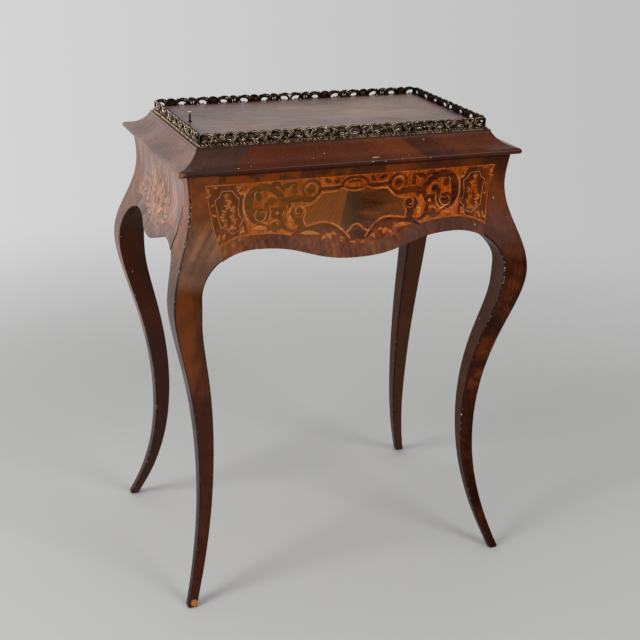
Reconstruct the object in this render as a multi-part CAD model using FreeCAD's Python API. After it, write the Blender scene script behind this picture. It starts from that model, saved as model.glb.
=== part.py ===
"""Jardiniere table: a small marquetry table on cabriole legs, with a planting well under its lid.

Millimetres. The origin lies on the floor under the middle of the table. +X runs to the right of the
front, the front faces -Y and +Z is up. Pieces are made at the back right corner, where x and y are
positive, and mirrored to the other corners and sides.
"""
import FreeCAD, Part
import math
import os
from collections import namedtuple

from FreeCAD import Vector

# Case: measured at its waist, where legs and aprons are narrowest
WAIST_WIDTH = 554.0
WAIST_DEPTH = 346.0
LEG_HEIGHT = 747.0
WAIST_DROP = 52.0
TOP_SPREAD = 4.5
POST_WIDTH = 46.0

# Cabriole legs: swell, set-in and flare are taken from the plane of the waist
KNEE_DROP = 197.0
KNEE_SWELL = 36.8
KNEE_THICKNESS = 46.0
ANKLE_SET_IN = 15.5
ANKLE_HEIGHT_SIDEWAYS = 215.0
ANKLE_HEIGHT_FORWARD = 250.0
FOOT_FLARE_SIDEWAYS = 40.0
FOOT_FLARE_FORWARD = 60.0
FOOT_THICKNESS = 17.0
TAPER_POWER = 1.35
LEG_EDGE_ROUND = 3.0

# Shares of a stretch's height over which the leg's face stays upright, beside its turning points
CALF_HANDLE = 0.54
UNDER_KNEE_HANDLE = 0.24
OVER_KNEE_HANDLE = 0.33
CURVE_STEPS = 4

# Aprons: arched lower edge with a pendant in the middle
APRON_THICKNESS = 24.0
CROWN_DROP = 121.0
ARCH_STILT = 7.0
ARCH_REACH_FRONT = 92.5
ARCH_REACH_SIDE = 71.5
PENDANT_FRONT = 26.5
PENDANT_SIDE = 23.0
TENON_LENGTH = 20.0
TENON_THICKNESS = 9.0
TENON_SETBACK = 5.0
TENON_HEIGHT = 76.0
TENON_TOP_DROP = 13.0
TENON_END_GAP = 0.5

# Marquetry panels, let in flush with the faces of aprons and posts
VENEER = 1.0
GLUE_LINE = 0.1
PANEL_TOP_DROP = 16.0
PANEL_END_MARGIN = 24.5
PANEL_END_LEAN = 17.0
BANDING_WIDTH = 22.0

# Moulded top: rail section, from the planting well outwards
OVERHANG_SIDE = 15.5
OVERHANG_FRONT = 7.5
LEDGE_WIDTH = 11.0
FLAT_WIDTH = 14.0
FILLET_HEIGHT = 2.5
CAVETTO_RUN = 35.0
CAVETTO_DROP = 23.5
CAVETTO_SAG = 5.5
THUMB_HEIGHT = 10.0
KEY_SIZE = 26.0
KEY_THICKNESS = 4.0
KEY_RISE = 4.0

# Lid, standing proud of the rails
LID_THICKNESS = 20.0
LID_PROUD = 9.0
LID_EDGE_ROUND = 1.5
LID_CLEARANCE = 0.8
BATTEN_WIDTH = 40.0
BATTEN_THICKNESS = 10.0
BATTEN_OFFSET = 140.0
BATTEN_END_GAP = 8.0
KNOB_FROM_LEFT = 16.5
KNOB_HEIGHT = 17.5
KNOB_HEAD_RADIUS = 3.6
KNOB_HEAD_HEIGHT = 2.6
KNOB_STEM_RADIUS = 1.5
KNOB_COLLAR_RADIUS = 3.2
KNOB_COLLAR_HEIGHT = 1.2
KNOB_TANG = 9.0

# Gallery: chain of oval links on a foot band. LINKS gives the half length and the share of the full
# height of each link in a repeat.
GALLERY_HEIGHT = 21.0
GALLERY_THICKNESS = 2.2
GALLERY_INSET = 7.0
GALLERY_BAND = 4.6
LINKS = ((6.5, 0.88), (8.2, 1.0), (6.4, 0.88), (8.6, 1.0), (5.8, 0.82), (9.6, 1.0))
LINK_WIRE = 3.0
LINK_OVERLAP = 1.2
BEAD_WIDTH = 3.2
BEAD_HEIGHT = 3.8
PIN_SPACING = 62.0
PIN_RADIUS = 0.7
PIN_HEAD_RADIUS = 1.3
PIN_DEPTH = 9.0

# Case floor, its cleats and the blocks behind the joints
FLOOR_CLEARANCE = 2.0
CLEAT_HEIGHT = 12.0
CLEAT_WIDTH = 16.0
FLOOR_THICKNESS = 10.0
FLOOR_FIT = 0.8
GLUE_BLOCK = 17.0
GLUE_BLOCK_TOP_DROP = 24.0
TOP_BLOCK_LENGTH = 44.0
TOP_BLOCK_SIZE = 18.0
TOP_BLOCK_OFFSET = 112.0
SCREW_RADIUS = 1.8
SCREW_HEAD_RADIUS = 3.6
SCREW_HEAD_DEPTH = 2.4
SCREW_BITE = 8.0
FLOOR_SCREW_INSET = 60.0

# Zinc liner, standing on the case floor and passing up through the well
LINER_CLEARANCE = 2.5
LINER_SHEET = 1.2
LINER_CORNER = 14.0
RIM_WIDTH = 4.5
RIM_HEIGHT = 4.5
RIM_ROUND = 1.4
RIM_GAP = 5.0

# Bails: wire loops that hang from lugs on the liner's end walls
BAIL_WIRE = 4.0
BAIL_SPAN = 70.0
BAIL_DROP = 26.0
BAIL_BEND = 9.0
BAIL_ELBOW = 4.5
BAIL_PIVOT_DROP = 16.0
BAIL_STANDOFF = 6.5
BAIL_FIT = 0.06
LUG_THICKNESS = 3.0
LUG_WALL = 2.4
LUG_SIDE_GAP = 0.5

# Heights and half sizes that follow from the sizes above
WAIST_X = WAIST_WIDTH / 2
WAIST_Y = WAIST_DEPTH / 2
WAIST_Z = LEG_HEIGHT - WAIST_DROP
KNEE_Z = LEG_HEIGHT - KNEE_DROP
SPRING_Z = KNEE_Z + ARCH_STILT
CROWN_Z = LEG_HEIGHT - CROWN_DROP
SHOULDER_X = WAIST_X - POST_WIDTH
SHOULDER_Y = WAIST_Y - POST_WIDTH
INNER_X = WAIST_X - APRON_THICKNESS
INNER_Y = WAIST_Y - APRON_THICKNESS

NOSE_RADIUS = THUMB_HEIGHT / 2
RAIL_WIDTH = LEDGE_WIDTH + FLAT_WIDTH + CAVETTO_RUN + NOSE_RADIUS
WELL_X = WAIST_X + TOP_SPREAD + OVERHANG_SIDE - RAIL_WIDTH
WELL_Y = WAIST_Y + TOP_SPREAD + OVERHANG_FRONT - RAIL_WIDTH
RAIL_TOP = LEG_HEIGHT + THUMB_HEIGHT + CAVETTO_DROP + FILLET_HEIGHT
LID_TOP = RAIL_TOP + LID_PROUD
LEDGE_Z = LID_TOP - LID_THICKNESS
BATTEN_Z = LEDGE_Z - BATTEN_THICKNESS
GALLERY_X = WELL_X + LEDGE_WIDTH + FLAT_WIDTH - GALLERY_INSET
GALLERY_Y = WELL_Y + LEDGE_WIDTH + FLAT_WIDTH - GALLERY_INSET

CLEAT_Z = CROWN_Z + FLOOR_CLEARANCE
FLOOR_Z = CLEAT_Z + CLEAT_HEIGHT
FLOOR_TOP = FLOOR_Z + FLOOR_THICKNESS
LINER_X = WELL_X - LINER_CLEARANCE - RIM_WIDTH
LINER_Y = WELL_Y - LINER_CLEARANCE - RIM_WIDTH
RIM_TOP = BATTEN_Z - RIM_GAP
PIVOT_X = LINER_X - LINER_SHEET - BAIL_STANDOFF
PIVOT_Z = RIM_TOP - BAIL_PIVOT_DROP


# Helpers

def block(x0, x1, y0, y1, z0, z1):
    """A box between two corners."""
    return Part.makeBox(x1 - x0, y1 - y0, z1 - z0, Vector(x0, y0, z0))


def to_left(shape):
    return shape.mirror(Vector(0, 0, 0), Vector(1, 0, 0))


def to_front(shape):
    return shape.mirror(Vector(0, 0, 0), Vector(0, 1, 0))


def on_front_plane(u, z):
    """A point of a drawing that is seen from the front or the back."""
    return Vector(u, 0, z)


def on_side_plane(u, z):
    """A point of a drawing that is seen from the left or the right."""
    return Vector(0, u, z)


def line(place, start, end):
    return Part.LineSegment(place(*start), place(*end)).toShape()


def lines(place, points):
    return [line(place, start, end) for start, end in zip(points, points[1:])]


def prism(edges, direction):
    """The solid swept by a closed outline along a direction."""
    return Part.Face(Part.Wire(edges)).extrude(direction)


def solid_of_revolution(points, base):
    """A turned solid about an upright axis through base, from (radius, height) points."""
    profile = Part.makePolygon([Vector(radius, 0, height) for radius, height in points + points[:1]])
    turned = Part.Face(profile).revolve(Vector(0, 0, 0), Vector(0, 0, 1), 360)
    turned.translate(base)
    return turned


# The two sides that pieces are made for. A side's section is drawn across it, from the middle of the
# table outwards, and its elevation along it; waist, inside, well and gallery are distances outwards,
# span, post and the lengths are half lengths along it.

Side = namedtuple("Side", "section elevation along outward waist span post inside ankle_height foot_flare "
                          "arch_reach pendant well well_length gallery gallery_length")

BACK = Side(section=on_side_plane, elevation=on_front_plane, along=Vector(1, 0, 0), outward=Vector(0, 1, 0),
            waist=WAIST_Y, span=WAIST_X, post=SHOULDER_X, inside=INNER_Y,
            ankle_height=ANKLE_HEIGHT_FORWARD, foot_flare=FOOT_FLARE_FORWARD,
            arch_reach=ARCH_REACH_FRONT, pendant=PENDANT_FRONT,
            well=WELL_Y, well_length=WELL_X, gallery=GALLERY_Y, gallery_length=GALLERY_X)
RIGHT = Side(section=on_front_plane, elevation=on_side_plane, along=Vector(0, 1, 0), outward=Vector(1, 0, 0),
             waist=WAIST_X, span=WAIST_Y, post=SHOULDER_Y, inside=INNER_X,
             ankle_height=ANKLE_HEIGHT_SIDEWAYS, foot_flare=FOOT_FLARE_SIDEWAYS,
             arch_reach=ARCH_REACH_SIDE, pendant=PENDANT_SIDE,
             well=WELL_X, well_length=WELL_Y, gallery=GALLERY_X, gallery_length=GALLERY_Y)
REACH = WAIST_WIDTH + WAIST_DEPTH


def lengthwise(side, edges):
    """The solid swept by a section along the whole length of a side, and beyond it."""
    swept = prism(edges, side.along * (2 * REACH))
    swept.translate(side.along * -REACH)
    return swept


def through(side, edges):
    """The solid swept by an elevation, from the middle of the table outwards."""
    return prism(edges, side.outward * REACH)


def side_block(side, start, end, inside, outside, low, high):
    """A box from start to end along a side, from inside to outside across it."""
    near = side.along * start + side.outward * inside
    far = side.along * end + side.outward * outside
    return block(near.x, far.x, near.y, far.y, low, high)


# Outer face of legs and aprons

def upright_stretch(start, end, start_handle, end_handle):
    """Points from start up to end of a curve that is upright at both, as (offset, height)."""
    rise = end[1] - start[1]
    points = []
    for step in range(CURVE_STEPS):
        t = step / CURVE_STEPS
        s = 1 - t
        offset = start[0] + (end[0] - start[0]) * t * t * (3 - 2 * t)
        height = 3 * s * s * t * start_handle + 3 * s * t * t * (1 - end_handle) + t ** 3
        points.append((offset, start[1] + rise * height))
    return points


def outer_points(ankle_height, foot_flare):
    """Points up the outer face, from the floor to the top, as (offset from the waist, height)."""
    points = []
    for step in range(CURVE_STEPS):
        rise = step / CURVE_STEPS
        points.append((foot_flare * (1 - rise) ** 2 - ANKLE_SET_IN, ankle_height * rise))
    ankle = (-ANKLE_SET_IN, ankle_height)
    knee = (KNEE_SWELL, KNEE_Z)
    waist = (0.0, WAIST_Z)
    points += upright_stretch(ankle, knee, CALF_HANDLE, UNDER_KNEE_HANDLE)
    points += upright_stretch(knee, waist, OVER_KNEE_HANDLE, OVER_KNEE_HANDLE)
    points += [waist, (TOP_SPREAD / 4, WAIST_Z + WAIST_DROP / 2), (TOP_SPREAD, LEG_HEIGHT)]
    return points


def outer_curve(side):
    """Section of the whole outer face as one smooth curve, from the floor to the top."""
    curve = Part.BSplineCurve()
    points = outer_points(side.ankle_height, side.foot_flare)
    curve.interpolate([side.section(side.waist + offset, height) for offset, height in points])
    return curve


def thickness_at(height):
    """Thickness of the leg, tapering from knee to foot."""
    return FOOT_THICKNESS + (KNEE_THICKNESS - FOOT_THICKNESS) * (height / KNEE_Z) ** TAPER_POWER


def inner_curve(side):
    """Section of the leg's inner face, from the floor to the springing of the arch."""
    points = outer_points(side.ankle_height, side.foot_flare)
    below_knee = [(offset, height) for offset, height in points if height < KNEE_Z - ARCH_STILT]
    placed = [side.section(side.waist + offset - thickness_at(height), height)
              for offset, height in below_knee]
    placed.append(side.section(spring_place(side.waist), SPRING_Z))
    first_lean = placed[1].sub(placed[0]).normalize()
    curve = Part.BSplineCurve()
    curve.interpolate(Points=placed, InitialTangent=first_lean, FinalTangent=Vector(0, 0, 1))
    return curve


# Lower edge of the aprons

def spring_place(waist):
    """Distance from the middle of the table to the inner face of the knee, where the arch springs."""
    return waist + KNEE_SWELL - KNEE_THICKNESS


def arch_height(u, centre, reach):
    """Height of the arch at distance u from the middle of the apron."""
    return SPRING_Z + (CROWN_Z - SPRING_Z) * math.sqrt(1 - ((u - centre) / reach) ** 2)


def arch_arc(place, centre, reach, start, end, lift=0.0):
    """The arch from distance start to distance end, as part of an ellipse."""
    middle = (start + end) / 2
    ends = [place(u, arch_height(u, centre, reach) + lift) for u in (start, middle, end)]
    origin = place(centre, SPRING_Z + lift)
    rise = CROWN_Z - SPRING_Z
    across = place(centre + reach, SPRING_Z + lift)
    upward = place(centre, CROWN_Z + lift)
    if reach > rise:
        ellipse = Part.Ellipse(across, upward, origin)
    else:
        ellipse = Part.Ellipse(upward, across, origin)
    first, last = sorted((ellipse.parameter(ends[0]), ellipse.parameter(ends[2])))
    if not first <= ellipse.parameter(ends[1]) <= last:
        first, last = last, first + 2 * math.pi
    return Part.ArcOfEllipse(ellipse, first, last).toShape()


def pendant_edge(place, centre, drop, side, lift=0.0):
    """The wave of the lower edge from the arch's crown down to the middle of the apron."""
    curve = Part.BezierCurve()
    poles = [(centre, CROWN_Z), (centre / 2, CROWN_Z), (centre / 2, CROWN_Z - drop), (0, CROWN_Z - drop)]
    curve.setPoles([place(side * u, z + lift) for u, z in poles])
    return curve.toShape()


# Legs

def leg_template(side, reach, post):
    """The leg and its post as drawn on one face of the stock: the section of one side's face."""
    place = side.section
    outer = outer_curve(side)
    inner = inner_curve(side)
    spring = spring_place(side.waist)
    centre = spring - reach
    edges = [outer.toShape(), inner.toShape()]
    edges += lines(place, [(side.waist + TOP_SPREAD, LEG_HEIGHT), (post, LEG_HEIGHT),
                           (post, arch_height(post, centre, reach))])
    edges.append(arch_arc(place, centre, reach, post, spring))
    edges.append(Part.LineSegment(inner.StartPoint, outer.StartPoint).toShape())
    return Part.__sortEdges__(edges)


def make_leg():
    """Back right leg, sawn from the square with one template on each of two faces, its corners rounded."""
    front_view = leg_template(RIGHT, BACK.arch_reach, BACK.post)
    side_view = leg_template(BACK, RIGHT.arch_reach, RIGHT.post)
    leg = lengthwise(RIGHT, front_view).common(lengthwise(BACK, side_view))
    corners = [edge for edge in leg.Edges if edge.Length > LEG_HEIGHT / 2]
    toe = [edge for edge in leg.Edges if edge.BoundBox.ZMax < LEG_EDGE_ROUND]
    leg = leg.makeFillet(LEG_EDGE_ROUND, corners + toe)
    return leg.cut([tenon(BACK, TENON_END_GAP), tenon(RIGHT, TENON_END_GAP)])


# Aprons and marquetry panels

def tenon(side, end_gap=0.0):
    """Tenon at one end of a side's apron, or its mortise with a gap at the end."""
    outside = side.waist - TENON_SETBACK
    top = LEG_HEIGHT - TENON_TOP_DROP
    return side_block(side, side.post, side.post + TENON_LENGTH + end_gap, outside - TENON_THICKNESS, outside,
                      top - TENON_HEIGHT, top)


def upper_face(side):
    """Section of a side's outer face from the knee to the top."""
    curve = outer_curve(side)
    knee_parameter = curve.parameter(side.section(side.waist + KNEE_SWELL, KNEE_Z))
    return curve.toShape(knee_parameter, curve.LastParameter)


def wall_section(side):
    """Section of the case wall, between its outer face and a plane inside."""
    edges = lines(side.section, [(side.waist + TOP_SPREAD, LEG_HEIGHT), (side.inside, LEG_HEIGHT),
                                 (side.inside, KNEE_Z), (side.waist + KNEE_SWELL, KNEE_Z)])
    return Part.__sortEdges__([upper_face(side)] + edges)


def sheet_section(side, proud, sunk):
    """Section of a sheet that follows the outer face, from proud of it to sunk under it."""
    outer = upper_face(side)
    outer.translate(side.outward * proud)
    under = upper_face(side)
    under.translate(side.outward * -sunk)
    edges = []
    for offset, height in ((TOP_SPREAD, LEG_HEIGHT), (KNEE_SWELL, KNEE_Z)):
        edge_place = side.waist + offset
        edges.append(line(side.section, (edge_place + proud, height), (edge_place - sunk, height)))
    return Part.__sortEdges__([outer, under] + edges)


def lower_edge(side, end, lift):
    """An apron's lower edge, raised by lift: arch, pendant, arch."""
    place = side.elevation
    centre = spring_place(side.span) - side.arch_reach
    edges = [pendant_edge(place, centre, side.pendant, way, lift) for way in (1, -1)]
    arch = arch_arc(place, centre, side.arch_reach, centre, end, lift)
    end_height = arch_height(end, centre, side.arch_reach) + lift
    return edges + [arch, arch.mirror(Vector(0, 0, 0), side.along)], end_height


def apron_elevation(side):
    """Outline of an apron between its shoulders."""
    edges, end_height = lower_edge(side, side.post, 0.0)
    edges += lines(side.elevation, [(-side.post, end_height), (-side.post, LEG_HEIGHT),
                                    (side.post, LEG_HEIGHT), (side.post, end_height)])
    return Part.__sortEdges__(edges)


def panel_elevation(side, spare):
    """Outline of a marquetry panel, wider by spare: level top, leaning ends, the apron's lower edge."""
    top = LEG_HEIGHT - PANEL_TOP_DROP + spare
    top_end = side.span - PANEL_END_MARGIN + spare
    low_end = top_end - PANEL_END_LEAN
    edges, end_height = lower_edge(side, low_end, BANDING_WIDTH - spare)
    edges += lines(side.elevation, [(-low_end, end_height), (-top_end, top), (top_end, top),
                                    (low_end, end_height)])
    return Part.__sortEdges__(edges)


def make_apron(side, mirrored):
    """Shaped board with a tenon at each end, recessed for its marquetry panel."""
    board = lengthwise(side, wall_section(side)).common(through(side, apron_elevation(side)))
    return board.fuse([tenon(side), mirrored(tenon(side))]).cut(panel_recess(side))


def make_panel(side):
    """Marquetry panel, flush with the face that it is let into."""
    sheet = lengthwise(side, sheet_section(side, 0.0, VENEER))
    return sheet.common(through(side, panel_elevation(side, 0.0)))


def panel_recess(side):
    """What is cut away for a panel and the glue around it."""
    sheet = lengthwise(side, sheet_section(side, VENEER, VENEER + GLUE_LINE))
    return sheet.common(through(side, panel_elevation(side, GLUE_LINE)))


# Moulded top

def rail_section(side):
    """Section of a top rail: ledge, flat, fillet, cavetto and thumb moulding."""
    place = side.section
    ledge = side.well + LEDGE_WIDTH
    fillet = ledge + FLAT_WIDTH
    nose = fillet + CAVETTO_RUN
    thumb_top = LEG_HEIGHT + THUMB_HEIGHT
    cavetto_top = RAIL_TOP - FILLET_HEIGHT
    chord = math.hypot(CAVETTO_RUN, CAVETTO_DROP)
    hollow_u = (fillet + nose) / 2 - CAVETTO_SAG * CAVETTO_DROP / chord
    hollow_z = (cavetto_top + thumb_top) / 2 - CAVETTO_SAG * CAVETTO_RUN / chord
    edges = lines(place, [(nose, LEG_HEIGHT), (side.well, LEG_HEIGHT), (side.well, LEDGE_Z), (ledge, LEDGE_Z),
                          (ledge, RAIL_TOP), (fillet, RAIL_TOP), (fillet, cavetto_top)])
    edges.append(Part.Arc(place(fillet, cavetto_top), place(hollow_u, hollow_z),
                          place(nose, thumb_top)).toShape())
    edges.append(Part.Arc(place(nose, thumb_top), place(nose + NOSE_RADIUS, LEG_HEIGHT + NOSE_RADIUS),
                          place(nose, LEG_HEIGHT)).toShape())
    return edges


def mitred(side, moulding, inside, length, width):
    """A moulding cut to its mitres: from inside outwards by width, with length along its inner edge."""
    corners = [(-length, inside), (length, inside), (length + width, inside + width),
               (-length - width, inside + width)]
    points = [side.along * along + side.outward * outward for along, outward in corners]
    plan = Part.Face(Part.makePolygon(points + points[:1]))
    return moulding.common(plan.extrude(Vector(0, 0, RAIL_TOP + GALLERY_HEIGHT)))


def make_rail(side):
    return mitred(side, lengthwise(side, rail_section(side)), side.well, side.well_length, RAIL_WIDTH)


def mitre_key():
    """Loose tongue across the mitre of the back right corner."""
    half = KEY_SIZE / 2
    key = block(-half, half, -half, half, 0, KEY_THICKNESS)
    key.rotate(Vector(0, 0, 0), Vector(0, 0, 1), 45)
    middle = RAIL_WIDTH / 2
    key.translate(Vector(WELL_X + middle, WELL_Y + middle, LEG_HEIGHT + KEY_RISE))
    return key


def at_four_corners(shape):
    pair = [shape, to_left(shape)]
    return pair + [to_front(piece) for piece in pair]


# Gallery

def oval(half_length, half_height, centre):
    """An upright oval plate, as thick as the gallery."""
    across = (half_length, Vector(1, 0, 0))
    upward = (half_height, Vector(0, 0, 1))
    minor, major = sorted((across, upward), key=lambda axis: axis[0])
    outline = Part.Ellipse(centre + major[1] * major[0], centre + minor[1] * minor[0], centre)
    return Part.Face(Part.Wire(outline.toShape())).extrude(Vector(0, GALLERY_THICKNESS, 0))


def link(half_length, share, middle):
    """One link of the chain, standing on the foot band and centred on x = middle."""
    half_height = share * (GALLERY_HEIGHT - GALLERY_BAND + LINK_OVERLAP) / 2
    centre = Vector(middle, 0, GALLERY_BAND - LINK_OVERLAP + half_height)
    hole = oval(half_length - LINK_WIRE, half_height - LINK_WIRE, centre)
    return oval(half_length, half_height, centre).cut(hole)


def gallery_strip(length):
    """Pierced strip along x from 0, its back on y = 0 and its foot on z = 0."""
    repeat = sum(2 * half - LINK_OVERLAP for half, share in LINKS)
    count = max(1, round(length / repeat))
    stretch = length / (count * repeat)
    chain = [block(end, end + LINK_WIRE, 0, GALLERY_THICKNESS, 0, GALLERY_HEIGHT * LINKS[0][1])
             for end in (0, length - LINK_WIRE)]
    place = 0.0
    for half, share in LINKS * count:
        slot = (2 * half - LINK_OVERLAP) * stretch
        chain.append(link(half * stretch, share, place + slot / 2))
        place += slot
    band = block(0, length, 0, GALLERY_THICKNESS, 0, GALLERY_BAND)
    room = block(0, length, 0, GALLERY_THICKNESS, 0, GALLERY_HEIGHT)
    return band.fuse(chain).common(room).removeSplitter()


def make_back_gallery():
    strip = gallery_strip(2 * GALLERY_X)
    strip.translate(Vector(-GALLERY_X, GALLERY_Y - GALLERY_THICKNESS, RAIL_TOP))
    return strip


def make_right_gallery():
    half = GALLERY_Y - GALLERY_THICKNESS
    strip = gallery_strip(2 * half)
    strip.rotate(Vector(0, 0, 0), Vector(0, 0, 1), 90)
    strip.translate(Vector(GALLERY_X, -half, RAIL_TOP))
    return strip


def bead_section(side):
    """Half round foot moulding against the gallery's outer face."""
    place = side.section
    start = side.gallery
    end = start + BEAD_WIDTH
    bend = BEAD_WIDTH * math.sqrt(0.5)
    crown = RAIL_TOP + BEAD_HEIGHT - BEAD_WIDTH
    edges = lines(place, [(start, RAIL_TOP + BEAD_HEIGHT), (start, RAIL_TOP), (end, RAIL_TOP), (end, crown)])
    edges.append(Part.Arc(place(end, crown), place(start + bend, crown + bend),
                          place(start, RAIL_TOP + BEAD_HEIGHT)).toShape())
    return edges


def make_bead(side):
    return mitred(side, lengthwise(side, bead_section(side)), side.gallery, side.gallery_length, BEAD_WIDTH)


def gallery_pin(x, y):
    """Pin down through the foot moulding into the rail."""
    head = RAIL_TOP + BEAD_HEIGHT
    points = [(0, RAIL_TOP - PIN_DEPTH), (PIN_RADIUS, RAIL_TOP - PIN_DEPTH), (PIN_RADIUS, head),
              (PIN_HEAD_RADIUS, head), (PIN_RADIUS, head + PIN_RADIUS), (0, head + PIN_RADIUS)]
    return solid_of_revolution(points, Vector(x, y, 0))


def pin_places(half_length):
    """Evenly spaced places along a side, clear of the corners."""
    count = max(2, round(2 * half_length / PIN_SPACING))
    pitch = 2 * half_length / count
    return [-half_length + (index + 0.5) * pitch for index in range(count)]


def gallery_pins():
    inset = PIN_HEAD_RADIUS
    back = [gallery_pin(x, GALLERY_Y + inset) for x in pin_places(GALLERY_X)]
    right = [gallery_pin(GALLERY_X + inset, y) for y in pin_places(GALLERY_Y)]
    return {"back": back, "front": [to_front(pin) for pin in back],
            "right": right, "left": [to_left(pin) for pin in right]}


# Floor, cleats and blocks

def screw(x, y, head_z, length, way):
    """Countersunk screw with its head's flat at head_z, driven up (way 1) or down (way -1)."""
    tip = head_z + way * length
    points = [(0, head_z), (SCREW_HEAD_RADIUS, head_z), (SCREW_RADIUS, head_z + way * SCREW_HEAD_DEPTH),
              (SCREW_RADIUS, tip - way * SCREW_RADIUS), (0, tip)]
    return solid_of_revolution(points, Vector(x, y, 0))


def make_cleat(side):
    return side_block(side, -side.post, side.post, side.inside - CLEAT_WIDTH, side.inside, CLEAT_Z, FLOOR_Z)


def make_floor():
    """Loose board on the cleats, notched round the posts of the legs."""
    half_x = INNER_X - FLOOR_FIT
    half_y = INNER_Y - FLOOR_FIT
    board = block(-half_x, half_x, -half_y, half_y, FLOOR_Z, FLOOR_TOP)
    notch = block(SHOULDER_X - FLOOR_FIT, WAIST_X, SHOULDER_Y - FLOOR_FIT, WAIST_Y, FLOOR_Z, FLOOR_TOP)
    return board.cut(at_four_corners(notch))


def floor_screws():
    """Screws down through the floor into the long cleats."""
    length = FLOOR_THICKNESS + SCREW_BITE
    y = INNER_Y - CLEAT_WIDTH / 2
    right = screw(SHOULDER_X - FLOOR_SCREW_INSET, y, FLOOR_TOP, length, -1)
    middle = screw(0, y, FLOOR_TOP, length, -1)
    return at_four_corners(right) + [middle, to_front(middle)]


def glue_blocks():
    """Upright blocks glued to the aprons and to the shoulders of the posts."""
    blocks = []
    for side in (BACK, RIGHT):
        beside_post = side_block(side, side.post - GLUE_BLOCK, side.post, side.inside - GLUE_BLOCK,
                                 side.inside, FLOOR_TOP, LEG_HEIGHT - GLUE_BLOCK_TOP_DROP)
        blocks += at_four_corners(beside_post)
    return blocks


def top_blocks():
    """Blocks inside the aprons that hold the moulded top down."""
    low = LEG_HEIGHT - TOP_BLOCK_SIZE
    half = TOP_BLOCK_LENGTH / 2
    long_side = side_block(BACK, TOP_BLOCK_OFFSET - half, TOP_BLOCK_OFFSET + half, INNER_Y - TOP_BLOCK_SIZE,
                           INNER_Y, low, LEG_HEIGHT)
    short_side = side_block(RIGHT, -half, half, INNER_X - TOP_BLOCK_SIZE, INNER_X, low, LEG_HEIGHT)
    return at_four_corners(long_side) + [short_side, to_left(short_side)]


def top_screws():
    """Screws up through the top blocks into the rails."""
    low = LEG_HEIGHT - TOP_BLOCK_SIZE
    length = TOP_BLOCK_SIZE + SCREW_BITE
    long_side = screw(TOP_BLOCK_OFFSET, INNER_Y - TOP_BLOCK_SIZE / 2, low, length, 1)
    short_side = screw(INNER_X - TOP_BLOCK_SIZE / 2, 0, low, length, 1)
    return at_four_corners(long_side) + [short_side, to_left(short_side)]


# Zinc liner and bails

def rounded_plan(half_x, half_y, radius, z0, z1):
    """An upright block with rounded corners."""
    plain = block(-half_x, half_x, -half_y, half_y, z0, z1)
    upright = [edge for edge in plain.Edges if edge.BoundBox.ZLength > (z1 - z0) / 2]
    return plain.makeFillet(radius, upright)


def make_liner():
    """Open zinc box with a folded rim."""
    outside = rounded_plan(LINER_X, LINER_Y, LINER_CORNER, FLOOR_TOP, RIM_TOP)
    rim = rounded_plan(LINER_X + RIM_WIDTH, LINER_Y + RIM_WIDTH, LINER_CORNER + RIM_WIDTH,
                       RIM_TOP - RIM_HEIGHT, RIM_TOP)
    inside_x = LINER_X - LINER_SHEET
    inside_y = LINER_Y - LINER_SHEET
    inside = rounded_plan(inside_x, inside_y, LINER_CORNER - LINER_SHEET, FLOOR_TOP + LINER_SHEET, RIM_TOP)
    rolled = [edge for edge in rim.Edges if edge.BoundBox.ZLength < RIM_HEIGHT / 2]
    return outside.fuse(rim.makeFillet(RIM_ROUND, rolled)).cut(inside)


def lug_place():
    """Middle of the lug's thickness along y, just outside the elbow of the bail's arm."""
    return BAIL_SPAN / 2 + BAIL_ELBOW + LUG_SIDE_GAP + LUG_THICKNESS / 2


def make_lug():
    """Soldered ear on the right end wall, with the hole that the bail's end turns in."""
    reach = BAIL_WIRE / 2 + LUG_WALL
    wall = LINER_X - LINER_SHEET
    start = lug_place() - LUG_THICKNESS / 2
    plate = block(PIVOT_X, wall, start, start + LUG_THICKNESS, PIVOT_Z - reach, PIVOT_Z + reach)
    across = Vector(0, 1, 0)
    nose = Part.makeCylinder(reach, LUG_THICKNESS, Vector(PIVOT_X, start, PIVOT_Z), across)
    hole = Part.makeCylinder(BAIL_WIRE / 2 + BAIL_FIT, LUG_THICKNESS, Vector(PIVOT_X, start, PIVOT_Z), across)
    return plate.fuse(nose).cut(hole)


def make_bail():
    """Wire loop hanging from the right end wall: straight arms, rounded bends, ends turned outwards."""
    half = BAIL_SPAN / 2
    bottom = PIVOT_Z - BAIL_DROP
    tip = lug_place() + LUG_THICKNESS / 2

    def at(y, z):
        return Vector(PIVOT_X, y, z)

    def straight(start, end):
        return Part.LineSegment(at(*start), at(*end)).toShape()

    def quarter_bend(start, end, centre):
        middle = [c + (s + e - 2 * c) * math.sqrt(0.5) for s, e, c in zip(start, end, centre)]
        return Part.Arc(at(*start), at(*middle), at(*end)).toShape()

    def arm(way):
        shoulder = (way * (half + BAIL_ELBOW), PIVOT_Z)
        arm_top = (way * half, PIVOT_Z - BAIL_ELBOW)
        arm_foot = (way * half, bottom + BAIL_BEND)
        bar_end = (way * (half - BAIL_BEND), bottom)
        return [straight((way * tip, PIVOT_Z), shoulder),
                quarter_bend(shoulder, arm_top, (shoulder[0], arm_top[1])),
                straight(arm_top, arm_foot),
                quarter_bend(arm_foot, bar_end, (bar_end[0], arm_foot[1]))]

    bar = straight((half - BAIL_BEND, bottom), (BAIL_BEND - half, bottom))
    path = Part.Wire(Part.__sortEdges__(arm(1) + [bar] + arm(-1)))
    section = Part.Wire(Part.Circle(at(tip, PIVOT_Z), Vector(0, 1, 0), BAIL_WIRE / 2).toShape())
    return path.makePipeShell([section], True, False)


# Lid

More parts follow.
